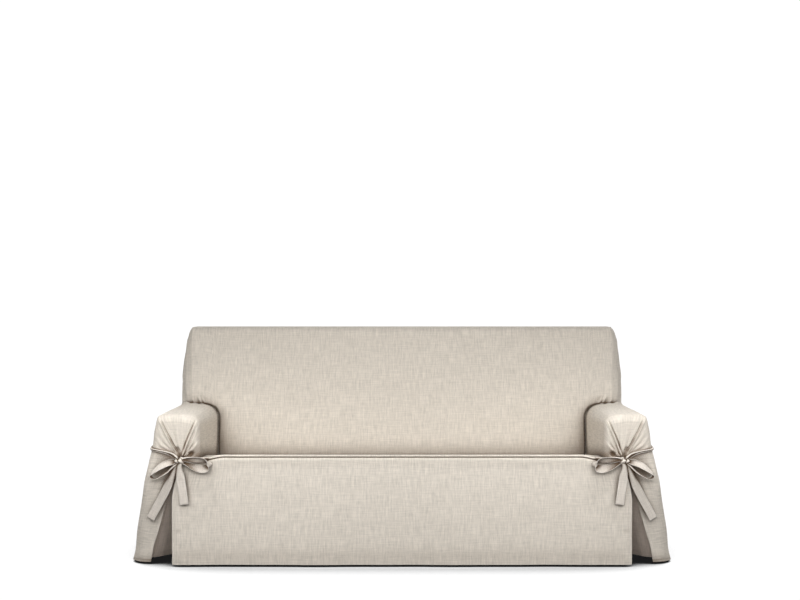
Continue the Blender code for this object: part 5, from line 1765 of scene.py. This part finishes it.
INNER_BANDS = (
    Band("strap", (
        (0.79, -0.0045, 0.4475, 0.008, 0.0, 0.0, 1.0),
        (0.815, -0.005, 0.4435, 0.009, 0.0, 0.0, 1.0),
        (0.845, -0.006, 0.442, 0.011, 0.0, 0.0, 1.0), (0.872, -0.01, 0.4413, 0.013, 0.0, -0.2, 1.0),
        (0.896, -0.016, 0.4405, 0.015, 0.0, -0.3, 1.0))),
    Band("loop", (
        (0.896, -0.019, 0.443, 0.011, 0.0, -0.6, 0.8),
        (0.879, -0.023, 0.444, 0.019, 0.0, -0.5, 0.86),
        (0.856, -0.024, 0.444, 0.025, 0.0, -0.5, 0.86),
        (0.83, -0.0245, 0.443, 0.03, 0.05, -0.55, 0.83),
        (0.808, -0.025, 0.44, 0.033, 0.18, -0.7, 0.68),
        (0.792, -0.026, 0.435, 0.0345, 0.4, -0.82, 0.4),
        (0.7825, -0.0268, 0.426, 0.0345, 0.5, -0.86, 0.05),
        (0.782, -0.0275, 0.4155, 0.0345, 0.44, -0.8, -0.38),
        (0.79, -0.028, 0.408, 0.0345, 0.26, -0.62, -0.74),
        (0.808, -0.028, 0.4045, 0.0345, 0.1, -0.44, -0.89),
        (0.826, -0.0275, 0.4065, 0.033, 0.0, -0.38, -0.92),
        (0.844, -0.0262, 0.4115, 0.028, -0.12, -0.35, -0.92),
        (0.862, -0.0242, 0.419, 0.021, -0.25, -0.32, -0.9),
        (0.88, -0.022, 0.4265, 0.015, -0.3, -0.3, -0.9),
        (0.896, -0.019, 0.431, 0.011, -0.3, -0.3, -0.9))),
    Band("tail", (
        (0.899, -0.018, 0.433, 0.013, 1.0, 0.0, 0.05), (0.9, -0.019, 0.424, 0.015, 1.0, 0.0, 0.05),
        (0.9045, -0.02, 0.415, 0.022, 1.0, 0.0, 0.05),
        (0.9043, -0.021, 0.392, 0.03, 1.0, 0.0, 0.08),
        (0.9, -0.021, 0.362, 0.0345, 0.99, 0.0, 0.12),
        (0.892, -0.02, 0.309, 0.0345, 0.99, 0.0, 0.13),
        (0.8855, -0.019, 0.2568, 0.0345, 0.99, 0.0, 0.13))),
)
OUTER_TIE = Tie("outer_tie", rests_on="arm_cover", paired_rest=True, flat=(0.0345, 0.69), seed=61,
                bands=OUTER_BANDS, knot=Knot((0.9155, -0.0155, 0.4365), (0.0066, 0.011, 0.0138)))
INNER_TIE = Tie("inner_tie", rests_on="seat_panel", flat=(0.0345, 0.6), seed=71,
                bands=INNER_BANDS, knot=Knot((0.8981, -0.0165, 0.4365), (0.0112, 0.0124, 0.015)))


# ---------------- studio

@dataclass(frozen=True)
class Softbox:
    """A soft light, with a grid that narrows its beam.

    Args:
        name: Its name.
        place: Where it stands, in the frame.
        aim: What it is turned to.
        size: Its width and height.
        power: Its power in watts.
        beam: Full angle of its beam, in degrees.
        paired: Whether a second one stands mirrored on the other side.
    """

    name: str
    place: Triple
    aim: Triple
    size: Pair
    power: float
    beam: float
    paired: bool = False

    def build(self) -> None:
        """Put the light in the scene, and its pair if it has one."""
        for sign in (1.0, -1.0) if self.paired else (1.0,):
            data = bpy.data.lights.new(self.name, "AREA")
            data.energy = self.power
            data.shape = "RECTANGLE"
            data.size, data.size_y = self.size
            data.spread = math.radians(self.beam)
            light = bpy.data.objects.new(data.name, data)
            bpy.context.collection.objects.link(light)
            place, aim = Vector(self.place), Vector(self.aim)
            place.x *= sign
            aim.x *= sign
            light.location = place
            light.rotation_euler = (aim - place).to_track_quat("-Z", "Y").to_euler()
            light.visible_camera = False


@dataclass(frozen=True)
class Studio:
    """Pale floor, soft light and the camera at the photograph's angle."""

    eye: Triple = (0.0, -6.17, 0.126)
    focal_pixels: float = 1323.0
    shift_pixels: float = -2.0
    width_pixels: float = 800.0
    sensor: float = 36.0
    lights: tuple[Softbox, ...] = (
        Softbox("front_strip", (0.0, -1.9, -0.15), (0.0, -0.3, -0.45), (3.4, 0.25), 15.2, 150.0),
        Softbox("overhead", (0.0, -1.0, 2.2), (0.0, -0.95, -1.0), (2.6, 1.2), 2.6, 90.0),
        Softbox("arm_light", (1.3, -1.3, 1.5), (0.93, -0.75, -0.5), (0.6, 0.6), 1.3, 40.0,
                paired=True),
        Softbox("far_light", (1.2, -5.0, 2.6), (0.6, -0.6, -0.2), (1.6, 1.6), 2.25, 40.0,
                paired=True),
        Softbox("rear_strip", (0.0, 2.0, 0.9), (0.0, 0.15, -0.6), (3.4, 0.4), 19.0, 150.0),
        Softbox("rear_rake", (3.0, 2.4, 0.2), (-0.4, 0.15, -0.5), (0.8, 0.8), 10.0, 100.0),
        Softbox("side_light", (3.0, 1.9, 0.9), (1.1, 0.0, -0.5), (1.4, 1.4), 6.0, 90.0,
                paired=True),
    )
    daylight: float = 0.33
    floor_size: float = 60.0
    floor_tone: float = 0.2  # what the floor throws back up at the cover
    contact: float = 1.0  # distance over which the floor's open sky is looked up
    contact_shares: Triple = (0.24, 0.53, 0.66)  # of it, for the floor's painted contact shadow: black, grey and white again
    contact_grey: float = 0.62
    contact_black: float = 0.012
    white: float = 1.05  # brightness of the open floor and the backdrop

    def build(self) -> None:
        """Set up the floor, the lights and the camera."""
        self.camera()
        for light in self.lights:
            light.build()
        self.world()
        self.floor()

    def camera(self) -> None:
        """Camera level with the horizon of the photograph."""
        data = bpy.data.cameras.new("camera")
        data.sensor_width = self.sensor
        data.lens = self.focal_pixels / self.width_pixels * self.sensor
        data.shift_x = self.shift_pixels / self.width_pixels
        data.clip_end = 200.0
        camera = bpy.data.objects.new("camera", data)
        bpy.context.collection.objects.link(camera)
        camera.location = self.eye
        camera.rotation_euler = (math.radians(90), 0.0, 0.0)
        bpy.context.scene.camera = camera

    def world(self) -> None:
        """White backdrop that lights the cover softly."""
        world = bpy.data.worlds.new("studio")
        world.use_nodes = True
        board = Board(world.node_tree)
        background = world.node_tree.nodes["Background"]
        seen = board.add("ShaderNodeLightPath").outputs["Is Camera Ray"]
        strength = board.add("ShaderNodeMapRange", {"Value": seen, "To Min": self.daylight,
                                                    "To Max": self.white})
        background.inputs["Color"].default_value = (1.0, 1.0, 1.0, 1.0)
        board.link(strength.outputs[0], background.inputs["Strength"])
        bpy.context.scene.world = world

    def floor(self) -> None:
        """White floor that glows for the camera and keeps only a painted contact shadow, dimmed by
        ambient occlusion near the cover.
        """
        half = self.floor_size / 2
        mesh = bpy.data.meshes.new("floor")
        mesh.from_pydata([(-half, -half, FLOOR), (half, -half, FLOOR), (half, half, FLOOR),
                          (-half, half, FLOOR)], [], [(0, 1, 2, 3)])
        material = bpy.data.materials.new("floor")
        material.use_nodes = True
        board = Board(material.node_tree)
        shader = material.node_tree.nodes["Principled BSDF"]
        shader.inputs["Base Color"].default_value = (self.floor_tone,) * 3 + (1.0,)
        shader.inputs["Roughness"].default_value = 0.95
        shader.inputs["Specular IOR Level"].default_value = 0.0
        # painted contact shadow: the floor's glow dims with ambient occlusion
        hidden = board.add("ShaderNodeAmbientOcclusion", {"Distance": self.contact}, samples=24)
        hidden = hidden.outputs["AO"]
        shut, edge, clear = self.contact_shares
        grey = board.ramp(hidden, shut, edge, self.contact_black, self.contact_grey)
        white = board.ramp(hidden, edge, clear, 0.0, self.white - self.contact_grey)
        light = board.add("ShaderNodeEmission", {"Color": (1.0, 1.0, 1.0, 1.0),
                                                 "Strength": board.calc("ADD", grey, white)})
        seen = board.add("ShaderNodeLightPath").outputs["Is Camera Ray"]
        both = board.add("ShaderNodeMixShader",
                         {0: seen, 1: shader.outputs[0], 2: light.outputs[0]})
        board.link(both.outputs[0], material.node_tree.nodes["Material Output"].inputs[0])
        mesh.materials.append(material)
        floor = bpy.data.objects.new("floor", mesh)
        bpy.context.collection.objects.link(floor)


# ---------------- the whole cover

def main() -> None:
    """Dress every piece of the cover, and set up the studio."""
    logging.basicConfig(level=logging.INFO, format="%(message)s")
    bpy.context.scene.view_settings.view_transform = "Standard"
    wardrobe = Wardrobe(Effects())
    for piece in (InsideBack(), OutsideBack(), SeatPanel(), FrontSkirt()):
        piece.dress(wardrobe)
    for side in Side:
        for piece in (ArmCover(), PleatUnderlay(), OUTER_TIE, INNER_TIE):
            replace(piece, side=side).dress(wardrobe)
    Studio().build()


if __name__ == "__main__":
    main()
